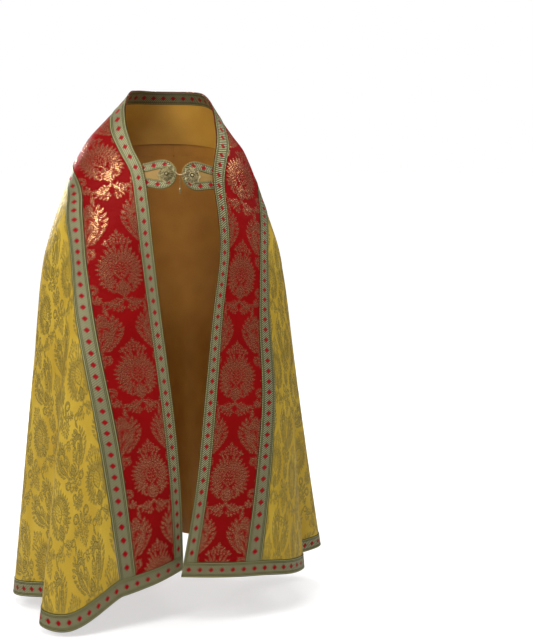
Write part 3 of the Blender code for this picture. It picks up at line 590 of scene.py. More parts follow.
def leaf_shapes(graph, across, down, chart):
    """Vectors that are above 0 inside the leaves, three leaves to a vector."""
    shapes = []
    for three in threes(sorted(chart, key=lambda leaf: leaf.swell != 0)):
        width_rows, length_rows = [], []
        for leaf in three:
            c, s = math.cos(math.radians(leaf.lean)), math.sin(math.radians(leaf.lean))
            width_rows.append([v / leaf.width for v in (c, s, -leaf.x * c - leaf.down * s)])
            length_rows.append([v / leaf.length for v in (s, -c, leaf.down * c - leaf.x * s)])
        x = line_of(graph, across, down, width_rows)
        y = line_of(graph, across, down, length_rows)
        y_squared = graph.vector("MULTIPLY", y, y)
        bends = [leaf.bend for leaf in three]
        off = graph.vector("ABSOLUTE", graph.vector("MULTIPLY_ADD", y_squared, bends, x))
        room = graph.vector("SUBTRACT", (1, 1, 1), y_squared)
        if any(leaf.swell for leaf in three):
            swell = graph.vector("MULTIPLY_ADD", y, [-leaf.swell for leaf in three], (1, 1, 1))
            room = graph.vector("MULTIPLY", room, graph.vector("MAXIMUM", swell, (0.1, 0.1, 0.1)))
        shapes.append(graph.vector("SUBTRACT", room, off))
    return shapes


def crescent_shapes(graph, across, down, chart):
    """Vectors that are above 0 inside the crescents, three to a vector."""
    shapes = []
    for three in threes(chart):
        discs = []
        for x, level, radius in (("x", "down", "radius"), ("cut_x", "cut_down", "cut_radius")):
            rows = [[getattr(one, column) for column in (x, level, radius)] for one in three]
            a = line_of(graph, across, down, [(1 / r, 0, -x / r) for x, level, r in rows])
            b = line_of(graph, across, down, [(0, 1 / r, -level / r) for x, level, r in rows])
            discs.append(graph.vector("MULTIPLY_ADD", a, a, graph.vector("MULTIPLY", b, b)))
        shapes.append(graph.vector("MINIMUM", graph.vector("SUBTRACT", (1, 1, 1), discs[0]),
                                   graph.vector("SUBTRACT", discs[1], (1, 1, 1))))
    return shapes


LOZENGE_BORDER = 0.22
MOTIF_EDGE = 6                # how sharply the motif ends
MOTIF_SPREAD = 0.07           # how much wider than charted its leaves are woven
HALF_TONE_SHARE = 0.42        # strength of the speckled threads close round each leaf


def make_damask():
    """Node group: from a place across and down in millimetres to a number that is above 0 on the motif
    and rises towards the middle of each leaf."""
    tree = bpy.data.node_groups.new("damask", "ShaderNodeTree")
    for name, kind in (("Across", "INPUT"), ("Down", "INPUT"), ("Motif", "OUTPUT")):
        tree.interface.new_socket(name=name, in_out=kind, socket_type="NodeSocketFloat")
    graph = Graph(tree)
    start, end = tree.nodes.new("NodeGroupInput"), tree.nodes.new("NodeGroupOutput")
    across = graph.math("PINGPONG", start.outputs["Across"], TILE_HALF_WIDTH)
    down = graph.math("FLOORED_MODULO", start.outputs["Down"], TILE_LENGTH)
    first = (leaf_shapes(graph, graph.spread(across), graph.spread(down), FIRST_COLUMN)
             + crescent_shapes(graph, graph.spread(across), graph.spread(down), FIRST_CURLS))
    far = graph.math("SUBTRACT", TILE_HALF_WIDTH, across)
    lower = graph.math("FLOORED_MODULO", graph.math("SUBTRACT", start.outputs["Down"], SECOND_COLUMN_TOP),
                       TILE_LENGTH)
    lower = graph.math("ADD", lower, SECOND_COLUMN_TOP)
    far, lower = graph.spread(far), graph.spread(lower)
    second = highest(graph, leaf_shapes(graph, far, lower, SECOND_COLUMN)
                     + crescent_shapes(graph, far, lower, SECOND_CURLS))
    lozenge = highest(graph, leaf_shapes(graph, far, lower, [LOZENGE]))
    second = graph.math("MINIMUM", second, graph.times(lozenge, -1))
    border = graph.math("MINIMUM", lozenge, graph.math("SUBTRACT", LOZENGE_BORDER, lozenge))
    second = graph.math("MAXIMUM", second, graph.times(border, 4))
    second = graph.math("MAXIMUM", second, highest(graph, leaf_shapes(graph, far, lower, LOZENGE_LEAVES)))
    motif = graph.math("MAXIMUM", highest(graph, first), second)
    graph.feed(end.inputs["Motif"], motif)
    return tree


# Colours of the satin ground, of the motif's metal threads and of the dull ones between them, and of the
# dark line round each leaf, with how metallic the motif is and how glossy the whole cloth.
Brocade = namedtuple("Brocade", "ground ground_shade metal dull outline outline_share shine gloss")
THREADS_ALONG, THREADS_ACROSS = 900, 420      # to the metre, as the noise has them
OUTLINE_MIDDLE, OUTLINE_HALF_WIDTH = 0.04, 0.10
METAL_SHARE = 0.59            # noise above which a thread shines
THREAD_EDGE = 9.0             # how sharply one thread's tone ends
CLOTH_ROUGHNESS, METAL_ROUGHNESS = 0.55, 0.25
PATCHES, WRINKLES, WRINKLE_HEIGHT = 7.0, 26.0, 7.0    # patches and wrinkles to the metre, and their height
# Where a cloth's pattern lies: its tile's place across and down at the zero of the cut.
BODY_PLACE, BAND_PLACE, HOOD_PLACE = (-700, 177), (-2, -1018), (79, -82)


def brocade(name, damask, threads_of, place):
    """Damask cloth: satin ground and a motif of metal threads. Its place follows the piece's cut."""
    made, graph = new_material(name, Specular_IOR_Level=threads_of.gloss, Anisotropic=0.3)
    cut = graph.cut()
    x, y, _ = graph.split(cut)
    pattern = graph.tree.nodes.new("ShaderNodeGroup")
    pattern.node_tree = damask
    graph.feed(pattern.inputs["Across"], graph.line(x, 1000, place[0]))
    graph.feed(pattern.inputs["Down"], graph.line(y, -1000, place[1]))
    inside = pattern.outputs["Motif"]
    motif = graph.line(inside, MOTIF_EDGE, 0.5 + MOTIF_EDGE * MOTIF_SPREAD, clamp=True)
    outline = graph.stripe(inside, OUTLINE_MIDDLE, OUTLINE_HALF_WIDTH, 0.12)
    threads = graph.noise(graph.vector("MULTIPLY", cut, (THREADS_ALONG, THREADS_ACROSS, 1)), 1.0, 1.0)
    speckle = graph.above(threads, 0.5, THREAD_EDGE)
    around = graph.line(inside, 1.6, 1.3, clamp=True)
    half_tone = graph.times(graph.times(around, speckle), HALF_TONE_SHARE)
    motif = graph.math("MAXIMUM", motif, half_tone)
    patches = graph.noise(cut, PATCHES, 2.0)
    glitter = graph.above(threads, METAL_SHARE, THREAD_EDGE)
    tone = graph.line(patches, 1.6, graph.line(threads, 1.3, -0.98), clamp=True)
    leaf = graph.tint(glitter, threads_of.dull, threads_of.metal)
    leaf = graph.tint(graph.times(outline, threads_of.outline_share), leaf, threads_of.outline)
    color = graph.tint(motif, graph.tint(tone, threads_of.ground_shade, threads_of.ground), leaf)
    graph.shade("Base Color", color)
    metal = graph.times(graph.times(motif, glitter), threads_of.shine)
    graph.shade("Metallic", metal)
    graph.shade("Roughness", graph.blend(metal, CLOTH_ROUGHNESS, METAL_ROUGHNESS))
    wrinkles = graph.noise(cut, WRINKLES, 3.0, 0.45)
    height = graph.line(wrinkles, WRINKLE_HEIGHT, graph.times(threads, 0.3))
    height = graph.line(motif, 0.25, height)
    graph.bump(height, 0.001, 0.5)
    return made


DIAMOND_SPACING, DIAMOND_LENGTH, DIAMOND_WIDTH = 32.0, 17.0, 13.5
BEAD_SPACING, FINE_SPACING = 5.2, 1.6
RIB_SPACING, RIB_SLOPE = 6.4, 0.8
RIM_STRENGTH = 0.55           # of the dark rim round a diamond
THREAD_METAL = (0.10, 0.60)   # how metallic its darkest and its lightest threads are
EDGE_LINES = [    # middle, in millimetres from the edge of a full braid, half width, colour, beaded or not
    (7.6, 0.9, BRAID_LINE_DARK, False), (6.3, 0.5, BRAID_LINE_PALE, False),
    (3.0, 2.9, BRAID_LINE_DARK, False), (2.9, 1.1, BRAID_BEAD, True),
    (0.3, 1.1, BRAID_EDGE, False),
]


def braid_look(name, width):
    """Woven braid: red diamonds on a slanting rib, with beaded and plain lines along both edges. Along
    and across it are in millimetres."""
    made, graph = new_material(name, Specular_IOR_Level=0.15)
    along, across, _ = graph.split(graph.vector("SCALE", graph.cut(), None, None, 1000))
    off = graph.math("ABSOLUTE", across)
    from_edge = graph.math("SUBTRACT", width * 500, off)
    slant = graph.line(across, RIB_SLOPE, along)
    ribs = graph.wave(slant, RIB_SPACING)
    fine = graph.wave(graph.math("SUBTRACT", along, off), FINE_SPACING)
    threads = graph.noise(graph.add("CombineXYZ", along, across, 0.0), 0.8, 2.0)
    # The ribs' tone is partly the twill's own light and dark threads, partly painted shade in the hollows
    # between ribs and a painted highlight on their crests.
    tone = graph.line(ribs, 1.9, graph.line(fine, 0.3, -1.32))
    tone = graph.line(threads, 1.0, tone, clamp=True)
    color = graph.tint(tone, BRAID_DARK, BRAID_LIGHT)
    beads = graph.wave(along, BEAD_SPACING)
    narrow = width / GALLOON_WIDTH
    for middle, half_width, line_color, beaded in EDGE_LINES:
        here = graph.stripe(from_edge, middle * narrow, half_width * narrow, 0.3)
        if beaded:
            here = graph.times(here, graph.line(beads, 3.0, -0.5, clamp=True))
        color = graph.tint(here, color, line_color)
    off_diamond = graph.math("PINGPONG", along, DIAMOND_SPACING / 2)
    reach = graph.math("ADD", graph.math("DIVIDE", off_diamond, DIAMOND_LENGTH / 2),
                       graph.math("DIVIDE", off, DIAMOND_WIDTH / 2))
    rim = graph.line(reach, -4.0, 5.4, clamp=True)
    red = graph.line(reach, -5.0, 5.2, clamp=True)
    color = graph.tint(graph.times(rim, RIM_STRENGTH), color, BRAID_LINE_DARK)
    color = graph.tint(red, color, graph.tint(threads, BRAID_RED_SHADE, BRAID_RED))
    graph.shade("Base Color", color)
    metal = graph.times(graph.math("SUBTRACT", 1.0, red), graph.blend(tone, *THREAD_METAL))
    graph.shade("Metallic", metal)
    graph.shade("Roughness", graph.blend(metal, 0.5, 0.34))
    height = graph.line(ribs, 0.8, graph.times(threads, 0.6))
    height = graph.line(fine, 0.3, height)
    graph.bump(height, 0.0006, 0.7)
    return made


def satin_look(name, color, shade):
    made, graph = new_material(name, Roughness=0.36, Specular_IOR_Level=0.4, Anisotropic=0.5)
    cut = graph.cut()
    threads = graph.noise(graph.vector("MULTIPLY", cut, (1200, 120, 1)), 1.0, 1.0)
    patches = graph.noise(cut, 14.0, 1.0)
    tone = graph.line(threads, 0.5, graph.line(patches, 0.8, -0.15), clamp=True)
    graph.shade("Base Color", graph.tint(tone, shade, color))
    graph.bump(graph.line(patches, 6.0, threads), 0.001, 0.4)
    return made


# ---------------------------------------------------------------- pieces

def length_over(marks, points):
    """Function from a mark to the length along the points up to it, which starts at 0."""
    gone = np.concatenate([[0], np.cumsum(np.linalg.norm(np.diff(points, axis=0), axis=1))])
    return lambda mark: np.interp(mark, marks, gone)


def strip(name, near, far, put_flat, width, rows, lifts, looks, middle=0.5, profile=None):
    """Cloth between two lines of points in a flat plane, which put_flat lays in its place. middle is the
    share of its width at which its cut has its zero, and where its length is measured."""
    gone = length_over(range(len(near)), near * (1 - middle) + far * middle)

    def place(number, share, lift):
        i = number.astype(int)
        flat = near[i] * (1 - share[:, None]) + far[i] * share[:, None]
        return put_flat(flat[:, 0], flat[:, 1], lift)

    return wall(name, range(len(near)), rows, place,
                lambda number, share: pair(gone(number), (share - middle) * width),
                lifts, looks, profile)


BODY_PARTS = 300
REACH_START, REACH_STEP = 0.002, 0.0075       # shares of the way from the yoke's seam to the hem
CLOTH_STEP, BRAID_STEP = 0.0075, 0.006        # lengths of one part of the grid along a piece


def make_body(looks):
    angles = [math.pi * (i / BODY_PARTS - 0.5) for i in range(BODY_PARTS + 1)]
    reaches = evenly(REACH_START, 1, REACH_STEP)

    def flat(angle, reach):
        far = reach * fan_length(angle)
        return pair(far * np.cos(angle), -np.abs(far * np.sin(angle)))

    return wall("body_cloth", angles, reaches, on_body, flat, (0, CLOTH), looks)


SHOULDER_ALONG, CHEST_ALONG = 0.2, 0.86     # between these the pattern eases from front to yoke
YOKE_PATTERN_SHIFT = {-1: 0.052, 1: -0.012}


def make_orphrey(name, side, looks):
    rows = evenly(0, ORPHREY_WIDTH - GAP, CLOTH_STEP)
    marks = np.array(evenly(GAP / 2, EDGE_HALF_LENGTH, CLOTH_STEP))
    alongs = [side * v for v in marks]
    gone = length_over(marks, on_band(side * marks, np.full(len(marks), ORPHREY_WIDTH / 2), 0))
    before_chest = CHEST_ALONG - gone(CHEST_ALONG)

    def flat(along, across):
        over_shoulder = 1 - ease((np.abs(along) - SHOULDER_ALONG) / (CHEST_ALONG - SHOULDER_ALONG))
        shift = before_chest + YOKE_PATTERN_SHIFT[side] * over_shoulder
        return pair(across, -gone(np.abs(along)) - shift)

    return wall(name, sorted(alongs), rows, on_band, flat, (0, CLOTH), looks)


ON_CLOTH = (CLOTH + GAP, CLOTH + GAP + BRAID)
BRAID_ROWS = [0, 0.03, 0.07, 0.11, 0.16, 0.3, 0.5, 0.7, 0.84, 0.89, 0.93, 0.97, 1]
BRAID_RISE = [0, 0.0004, 0.0006, 0.0004, 0.0001, 0.0002, 0.0003, 0.0002, 0.0001, 0.0004, 0.0006, 0.0004, 0]


def make_band_braid(name, looks, edge, far_edge, lifts=ON_CLOTH, reach=None):
    reach = reach or EDGE_HALF_LENGTH - GALLOON_WIDTH - GAP
    alongs = evenly(-reach, reach, BRAID_STEP)
    rows = [edge + (far_edge - edge) * share for share in BRAID_ROWS]
    rise = [0] * len(rows) if lifts[1] < 0 else BRAID_RISE

    def flat(along, across):
        return pair(along, across - (edge + far_edge) / 2)

    return wall(name, alongs, rows, on_band, flat, lifts, looks, profile=rise)


def make_centre_braid(looks):
    half = CENTRE_GALLOON_WIDTH / 2
    levels = evenly(GALLOON_WIDTH + GAP, ORPHREY_WIDTH - GALLOON_WIDTH - GAP, 0.005)
    rows = [half * (2 * share - 1) for share in BRAID_ROWS]
    return wall("centre_braid", levels, rows, lambda across, along, lift: on_band(along, across, lift),
                pair, ON_CLOTH, looks, BRAID_RISE)


HEM_BAND_STEP, HEM_BODY_STEP = 0.03, 0.0028   # of its columns


def make_hem_braid(looks):
    """Braid round the whole hem: column -2 to -1 on the right half of the band, to 1 on the body and
    to 2 on the left half."""
    columns = (evenly(-2, -1, HEM_BAND_STEP)[:-1] + evenly(-1, 1, HEM_BODY_STEP)
               + evenly(1, 2, HEM_BAND_STEP)[1:])

    def place(column, share, lift):
        past = np.abs(column) > 1
        across = (2 - np.abs(column)) * ORPHREY_WIDTH
        along = np.sign(column) * (EDGE_HALF_LENGTH - (1 - share) * GALLOON_WIDTH)
        band = on_band(along, np.where(past, across, 0), lift)
        angle = np.clip(column, -1, 1) * math.pi / 2
        body = on_body(angle, 1 - (1 - share) * GALLOON_WIDTH / fan_length(angle), lift)
        return np.where(past[:, None], band, body)

    middle = place(np.array(columns), np.full(len(columns), 0.5), np.full(len(columns), CLOTH))
    gone = length_over(columns, middle)
    half = gone(columns[-1]) / 2

    def flat(column, share):
        return pair(gone(column) - half, (share - 0.5) * GALLOON_WIDTH)

    return wall("hem_braid", columns, BRAID_ROWS, place, flat, ON_CLOTH, looks, BRAID_RISE)


FACING_REACH, LINING_REACH = 0.355, 0.395     # how far the inside of the collar is faced and lined


def make_neck_lining(looks):
    rows = evenly(GALLOON_WIDTH + GAP, ORPHREY_WIDTH - GALLOON_WIDTH, BRAID_STEP)
    return wall("neck_satin", evenly(-LINING_REACH, LINING_REACH, 0.007), rows, on_band, pair,
                (-GAP - LINING, -GAP), looks)


# Soft ridge down the middle of the hood, where it was folded in half.
HOOD_RIDGE, HOOD_RIDGE_REACH, HOOD_RIDGE_ROUND, HOOD_RIDGE_START = 0.0125, 0.15, 0.005, 0.08
# The turn at which the back is as far to the side as a point of the hood is found by halving.
LAST_TURN, HALVINGS = 89.0, 22


def hood_bottom(x):
    """Drop of the hood's lower edge, x to the left of its centre."""
    share = np.clip(np.abs(x) / HOOD_HALF_WIDTH, 0, 1)
    return HOOD_SIDE + (HOOD_DEPTH - HOOD_SIDE) * (1 - share ** HOOD_TIP_POINT) ** HOOD_TIP_ROUND


def on_hood(x, drop, lift):
    """Points above the back, x to the left of its centre and a drop below the yoke's seam."""
    x, drop = np.asarray(x, float), np.asarray(drop, float)
    side = np.where(x < 0, -1.0, 1.0)
    along = np.where(x == 0, 1e-9, x)
    seam_turn, seam_z = band_place(along, "seam_turn"), band_place(along, "seam_z")
    z = seam_z - drop * HOOD_SLOPE
    wanted = radius(side * seam_turn, seam_z) * np.sin(np.radians(seam_turn))
    low, high = np.zeros_like(x), np.full_like(x, LAST_TURN)
    for _ in range(HALVINGS):
        turn = (low + high) / 2
        short = radius(side * turn, z) * np.sin(np.radians(turn)) < wanted
        low, high = np.where(short, turn, low), np.where(short, high, turn)
    away = (HOOD_LIFT_TOP + (HOOD_LIFT_YOKE - HOOD_LIFT_TOP) * ease(drop / HOOD_GALLOON)
            + (HOOD_LIFT_TIP - HOOD_LIFT_YOKE) * ease(drop / HOOD_DEPTH))
    off_ridge = np.clip(1 - np.hypot(x, HOOD_RIDGE_ROUND) / HOOD_RIDGE_REACH, 0, None)
    away = away + HOOD_RIDGE * off_ridge * ease(drop / HOOD_RIDGE_START)
    return on_surface(side * (low + high) / 2, z, away + lift)


def make_hood(looks):
    def place(x, share, lift):
        return on_hood(x, HOOD_TOP + share * (hood_bottom(x) - HOOD_TOP), lift)

    shares = evenly(0, 1, 0.02)
    xs = evenly(-HOOD_HALF_WIDTH, HOOD_HALF_WIDTH, 0.008)
    gone = length_over(xs, on_hood(xs, np.full(len(xs), HOOD_DEPTH / 2), 0))

    def flat(x, share):
        return pair(gone(x) - gone(0), -share * hood_bottom(x))

    return wall("hood_cloth", xs, shares, place, flat, (0, CLOTH), looks)


def hood_edge(t):
    """Point of the hood's side and lower edge, from the top left corner (0) to the top right (1)."""
    side = HOOD_SIDE - HOOD_TOP
    curve = HOOD_TIP_LENGTH * HOOD_HALF_WIDTH + (HOOD_DEPTH - HOOD_SIDE)
    whole = 2 * side + curve
    gone = t * whole
    if gone < side:
        return Vector((HOOD_HALF_WIDTH, HOOD_TOP + gone))
    if gone > side + curve:
        return Vector((-HOOD_HALF_WIDTH, HOOD_TOP + whole - gone))
    x = HOOD_HALF_WIDTH * math.cos(math.pi * (gone - side) / curve)
    return Vector((x, hood_bottom(x)))


def offset_path(points, distance, closed):
    """Points moved to their left by a distance, with mitred corners."""
    moved = []
    for i, point in enumerate(points):
        before = points[i - 1] if closed or i else None
        after = points[(i + 1) % len(points)] if closed or i + 1 < len(points) else None
        turns = [(b - a).normalized() for a, b in ((before, point), (point, after)) if a and b]
        normals = [Vector((-turn.y, turn.x)) for turn in turns]
        first, second = normals[0], normals[-1]
        moved.append(point + (first + second) / (1 + first.dot(second)) * distance)
    return moved


HOOD_EDGE_PARTS, HOOD_TOP_PARTS = 240, 90
HOOD_CORNER = 0.072            # the braid's inner edge is drawn together this far round a corner
ROUNDING = 1e-6


def make_hood_braid(looks):
    outline = [hood_edge(i / HOOD_EDGE_PARTS) for i in range(HOOD_EDGE_PARTS + 1)]
    outline += [Vector((HOOD_HALF_WIDTH * (2 * i / HOOD_TOP_PARTS - 1), HOOD_TOP))
                for i in range(1, HOOD_TOP_PARTS)]
    inner = offset_path(outline, HOOD_GALLOON, closed=True)
    for edge, point in zip(outline, inner):
        below = edge.y - HOOD_TOP
        if abs(edge.x) > HOOD_HALF_WIDTH - ROUNDING and below < HOOD_CORNER:
            point.y = HOOD_TOP + HOOD_GALLOON + below * (1 - HOOD_GALLOON / HOOD_CORNER)
        if below < ROUNDING:
            point.x = min(max(edge.x, HOOD_GALLOON - HOOD_HALF_WIDTH), HOOD_HALF_WIDTH - HOOD_GALLOON)
    outline, inner = (np.array([tuple(p) for p in line + line[:1]]) for line in (outline, inner))
    return strip("hood_braid", outline, inner, on_hood, HOOD_GALLOON, BRAID_ROWS, ON_CLOTH, looks,
                 profile=BRAID_RISE)


# ---------------------------------------------------------------- the fringe

STRANDS = 270                  # in each layer
STRAND_LAYERS = ((0.0011, 0.0), (0.0034, 0.5))    # lift, and share of a strand moved along
EDGE_STEP = 0.0015             # share of the hood's edge between the points that give its direction
STRAND_RADIUS, STRAND_SIDES = 0.0016, 5
ROOT_SHARE, SWELLING = 0.75, 0.35    # of the radius, at a strand's ends and added to that in its middle
STRAND_SHARES = (0.0, 0.12, 0.3, 0.5, 0.7, 0.88, 1.0)
STRAND_TWIST = 0.0045          # length of one turn of its cord
STRAND_SETTLE = 0.002          # how far its end lies back towards the cloth
STRAND_SPREADS = (0.05, 0.0006, 0.022)    # of its sway, of how far it strays out and of its length
# How far out and down a side strand has gone at a share of its length: so much of the share and so much
# of its square.
SIDE_OUT, SIDE_DOWN = (0.85, -0.33), (0.32, 0.42)
HEADER_WIDTH, HEADER_THICKNESS = 0.0035, 0.0009


def bar(sides, shares):
    """Mesh of a closed bar of unit radius, with a ring at each share of its length."""
    bm = bmesh.new()
    bmesh.ops.create_circle(bm, cap_ends=True, segments=sides, radius=1)
    face = next(iter(bm.faces))
    for share in shares[1:]:
        face = bmesh.ops.extrude_discrete_faces(bm, faces=[face])["faces"][0]
        for vert in face.verts:
            vert.co.z = share
    bmesh.ops.contextual_create(bm, geom=[edge for edge in bm.edges if edge.is_boundary])
    bmesh.ops.recalc_face_normals(bm, faces=bm.faces)
    mesh = bpy.data.meshes.new("bar")
    bm.to_mesh(mesh)
    bm.free()
    return mesh


def make_fringe(look):
    """Twisted strands in two layers. They hang straight down from the lower edge and droop outwards
    from the sides. Each is laid out in the hood's flat plane and then on the back."""
    chance = np.random.default_rng(7)
    strand = bar(STRAND_SIDES, STRAND_SHARES)
    bm = bmesh.new()
    for _ in range(STRANDS * len(STRAND_LAYERS)):
        bm.from_mesh(strand)
    unit = np.array([tuple(vert.co) for vert in bm.verts])
    each = len(strand.vertices)
    bpy.data.meshes.remove(strand)
    number = np.repeat(np.arange(len(unit) // each), each)
    strands = []
    for lift, moved in STRAND_LAYERS:
        for i in range(STRANDS):
            t = (i + 0.25 + moved / 2) / STRANDS
            before, root, after = (hood_edge(t + step) for step in (-EDGE_STEP, 0, EDGE_STEP))
            along = (after - before).normalized()
            out = Vector((-along.y, along.x))
            if out.dot(root - HOOD_MIDDLE) < 0:
                out = -out
            strands.append((*(root + out * GAP), out.x, lift + HEADER_THICKNESS))
    root_x, root_drop, out_x, base = np.array(strands)[number].T
    sway, stray, longer = (chance.normal(0, spread, len(strands))[number] for spread in STRAND_SPREADS)
    share = unit[:, 2]
    sideways, side = np.abs(out_x), np.sign(out_x)
    reach = (FRINGE_LENGTH + (FRINGE_SIDE_LENGTH - FRINGE_LENGTH) * sideways) * (1 + longer)
    outwards = sideways * (SIDE_OUT[0] * share + SIDE_OUT[1] * share ** 2)
    down = (1 - sideways) * share + sideways * (SIDE_DOWN[0] * share + SIDE_DOWN[1] * share ** 2)
    swelling = SWELLING * np.sin(np.clip(share, 0.1, 0.95) * math.pi) ** 0.5
    thick = STRAND_RADIUS * (ROOT_SHARE + swelling) * unit[:, 0]
    x = root_x + reach * (side * outwards + sway * share ** 1.5) + thick * (1 - sideways * 0.6)
    drop = root_drop + reach * down - thick * sideways * 0.8 * side
    lift = base + STRAND_RADIUS * (1 + unit[:, 1]) + (stray - STRAND_SETTLE) * share
    for vert, point in zip(bm.verts, on_hood(x, drop, lift)):
        vert.co = point
    piece = link("hood_fringe_strands", bm, [look])
    lay_flat(piece.data, pair(number / 9.0, share * reach))
    lay_flat(piece.data, unit[:, :2], "round")
    return piece


def make_fringe_header(look):
    """Narrow woven heading that the strands hang from, under the braid's edge."""
    edge = [hood_edge(i / HOOD_EDGE_PARTS) for i in range(HOOD_EDGE_PARTS + 1)]
    near, far = (np.array([tuple(point) for point in offset_path(edge, -distance, closed=False)])
                 for distance in (GAP, GAP + HEADER_WIDTH))
    return strip("hood_fringe_heading", near, far, on_hood, HEADER_WIDTH, [0, 0.5, 1],
                 (0, HEADER_THICKNESS), [look], middle=0)


def bullion_look():
    made, graph = new_material("bullion", Metallic=0.45, Roughness=0.42, Specular_IOR_Level=0.3)
    strand, down, _ = graph.split(graph.cut())
    across, out, _ = graph.split(graph.cut("round"))
    turn = graph.times(down, 2 * math.pi / STRAND_TWIST)
    cord = graph.math("ADD", graph.times(across, graph.math("COSINE", turn)),
                      graph.times(out, graph.math("SINE", turn)))
    cord = graph.line(cord, 0.5, 0.5)
    tone = graph.noise(graph.add("CombineXYZ", strand, graph.times(down, 12), 0.0), 5.0, 1.0)
    # The grooves of the twist are darkened towards the shade colour: painted shade, on top of the random
    # tone from the noise.
    tone = graph.line(tone, 1.4, graph.line(cord, 0.7, -0.55), clamp=True)
    graph.shade("Base Color", graph.tint(tone, BULLION_SHADE, BULLION_LIGHT))
    graph.bump(cord, 0.0006, 0.8)
    return made


# ---------------------------------------------------------------- the clasp

TAB = 0.003
TAB_LENGTH = 0.096
TAB_BEHIND = 0.006
TAB_ROOT_HALF_HEIGHT, TAB_HALF_HEIGHT = 0.033, 0.0415
TAB_GALLOON = 0.024
TAB_LEVEL_ALONG = {-1: 0.475, 1: 0.462}
TAB_SET_BACK = 0.0030
TAB_SIDE_PARTS, TAB_END_PARTS = 16, 40
BINDING = 0.0017               # radius of the corded binding round a tab
BROOCH_RADIUS, BROOCH_CENTRE = 0.0250, 0.068
BROOCH_PETALS, BROOCH_SCALLOP = 8, 0.08
BROOCH_BASE = 2 * GAP + BRAID
WIRE = 0.0011
HOOK_HEIGHT, RING_RADIUS, HOOK_PARTS = 0.0026, 0.0024, 16
HOOK_BOW = Vector((0, -0.003, -0.002))
DROP_LENGTH = 0.052


def tab_frame(side):
    """Matrix of a tab: x from its root to its round end, y up, z out of the chest."""
    along = side * TAB_LEVEL_ALONG[side]
    root, above = (Vector(on_band(along, TAB_BEHIND, lift)) for lift in (-TAB_SET_BACK, 0))
    out = (above - root).normalized()
    inward = Vector((-side, 0, 0))
    inward = (inward - out * inward.dot(out)).normalized()
    up = out.cross(inward) * -side
    frame = Matrix((inward, up, out)).transposed().to_4x4()
    frame.translation = root
    return frame


def tab_outline():
    """The tab's outline from its upper root, round its end, to its lower root."""
    upper = []
    for i in range(TAB_SIDE_PARTS):
        t = i / TAB_SIDE_PARTS
        height = TAB_ROOT_HALF_HEIGHT + (TAB_HALF_HEIGHT - TAB_ROOT_HALF_HEIGHT) * float(ease(t))
        upper.append(Vector((t * (TAB_LENGTH - TAB_HALF_HEIGHT), height)))
    for i in range(TAB_END_PARTS // 2 + 1):
        a = math.pi / 2 * i / (TAB_END_PARTS // 2)
        upper.append(Vector((TAB_LENGTH - TAB_HALF_HEIGHT + TAB_HALF_HEIGHT * math.sin(a),
                             TAB_HALF_HEIGHT * math.cos(a))))
    return upper + [Vector((point.x, -point.y)) for point in reversed(upper[:-1])]


def turned(points, frame):
    """Points of a row of x, y, z, placed by a matrix."""
    matrix = np.array(frame)
    return points @ matrix[:3, :3].T + matrix[:3, 3]


def make_tab(name, looks, frame):
    outline = tab_outline()
    marks = np.array([tuple(point) for point in outline])

    def place(number, share, lift):
        flat = marks[number.astype(int)]
        middle = pair(np.minimum(flat[:, 0], TAB_LENGTH - TAB_HALF_HEIGHT), 0 * flat[:, 0])
        flat = flat + (middle - flat) * share[:, None]
        return turned(np.column_stack([flat, lift]), frame)

    def flat(number, share):
        return marks[number.astype(int)] * (1 - 0.5 * share[:, None])

    return wall(name, range(len(outline)), [0, 0.5, 0.998], place, flat, (-TAB, 0), looks)


def make_tab_braid(name, look, frame):
    outline = tab_outline()
    inner = offset_path(outline, -TAB_GALLOON, closed=False)
    edge, far = (np.array([tuple(point) for point in line]) for line in (outline, inner))
    far[:, 0] = np.maximum(far[:, 0], 0)
    return strip(name, edge, far, lambda x, y, lift: turned(np.column_stack([x, y, lift]), frame),
                 TAB_GALLOON, BRAID_ROWS, (GAP, GAP + BRAID), [look], profile=BRAID_RISE)


def add_tube(bm, points, radius, sides=6, closed=False, up=(0, 0, 1)):
    """Round wire through points. up is a direction that it never runs along."""
    path = [Vector(point) for point in points]
    path += path[:1] if closed else []
    last = len(path) - 1
    made = bmesh.ops.create_grid(bm, x_segments=last, y_segments=sides, size=1)["verts"]
    for vert in made:
        i, j = round((vert.co.x + 1) / 2 * last), round((vert.co.y + 1) / 2 * sides)
        after = path[1] if closed and i == last else path[min(i + 1, last)]
        before = path[last - 1] if closed and i == 0 else path[max(i - 1, 0)]
        along = (after - before).normalized()
        across = along.cross(Vector(up)).normalized()
        angle = 2 * math.pi * j / sides
        vert.co = path[i] + (across * math.cos(angle) + across.cross(along) * math.sin(angle)) * radius
    faces = {face for vert in made for face in vert.link_faces}
    bmesh.ops.remove_doubles(bm, verts=made, dist=1e-7)
    open_ends = {edge for face in faces if face.is_valid for edge in face.edges if edge.is_boundary}
    if open_ends:
        bmesh.ops.holes_fill(bm, edges=list(open_ends), sides=0)


def angles_round(count):
    """Angles of so many even steps once round."""
    return [2 * math.pi * i / count for i in range(count)]


def loop_points(centre, length, width, angle, height, tip_height):
    """Teardrop loop that starts near the centre of a brooch and points outwards at an angle."""
    points = []
    c, s = math.cos(angle), math.sin(angle)
    for a in angles_round(LOOP_PARTS):
        x = centre + length * (1 - math.cos(a)) / 2
        y = width * math.sin(a) * (0.45 + 0.55 * (1 - math.cos(a)) / 2)
        points.append((x * c - y * s, x * s + y * c, height + (tip_height - height) * (1 - math.cos(a)) / 2))
    return points


PLATE_THICKNESS = 0.0008
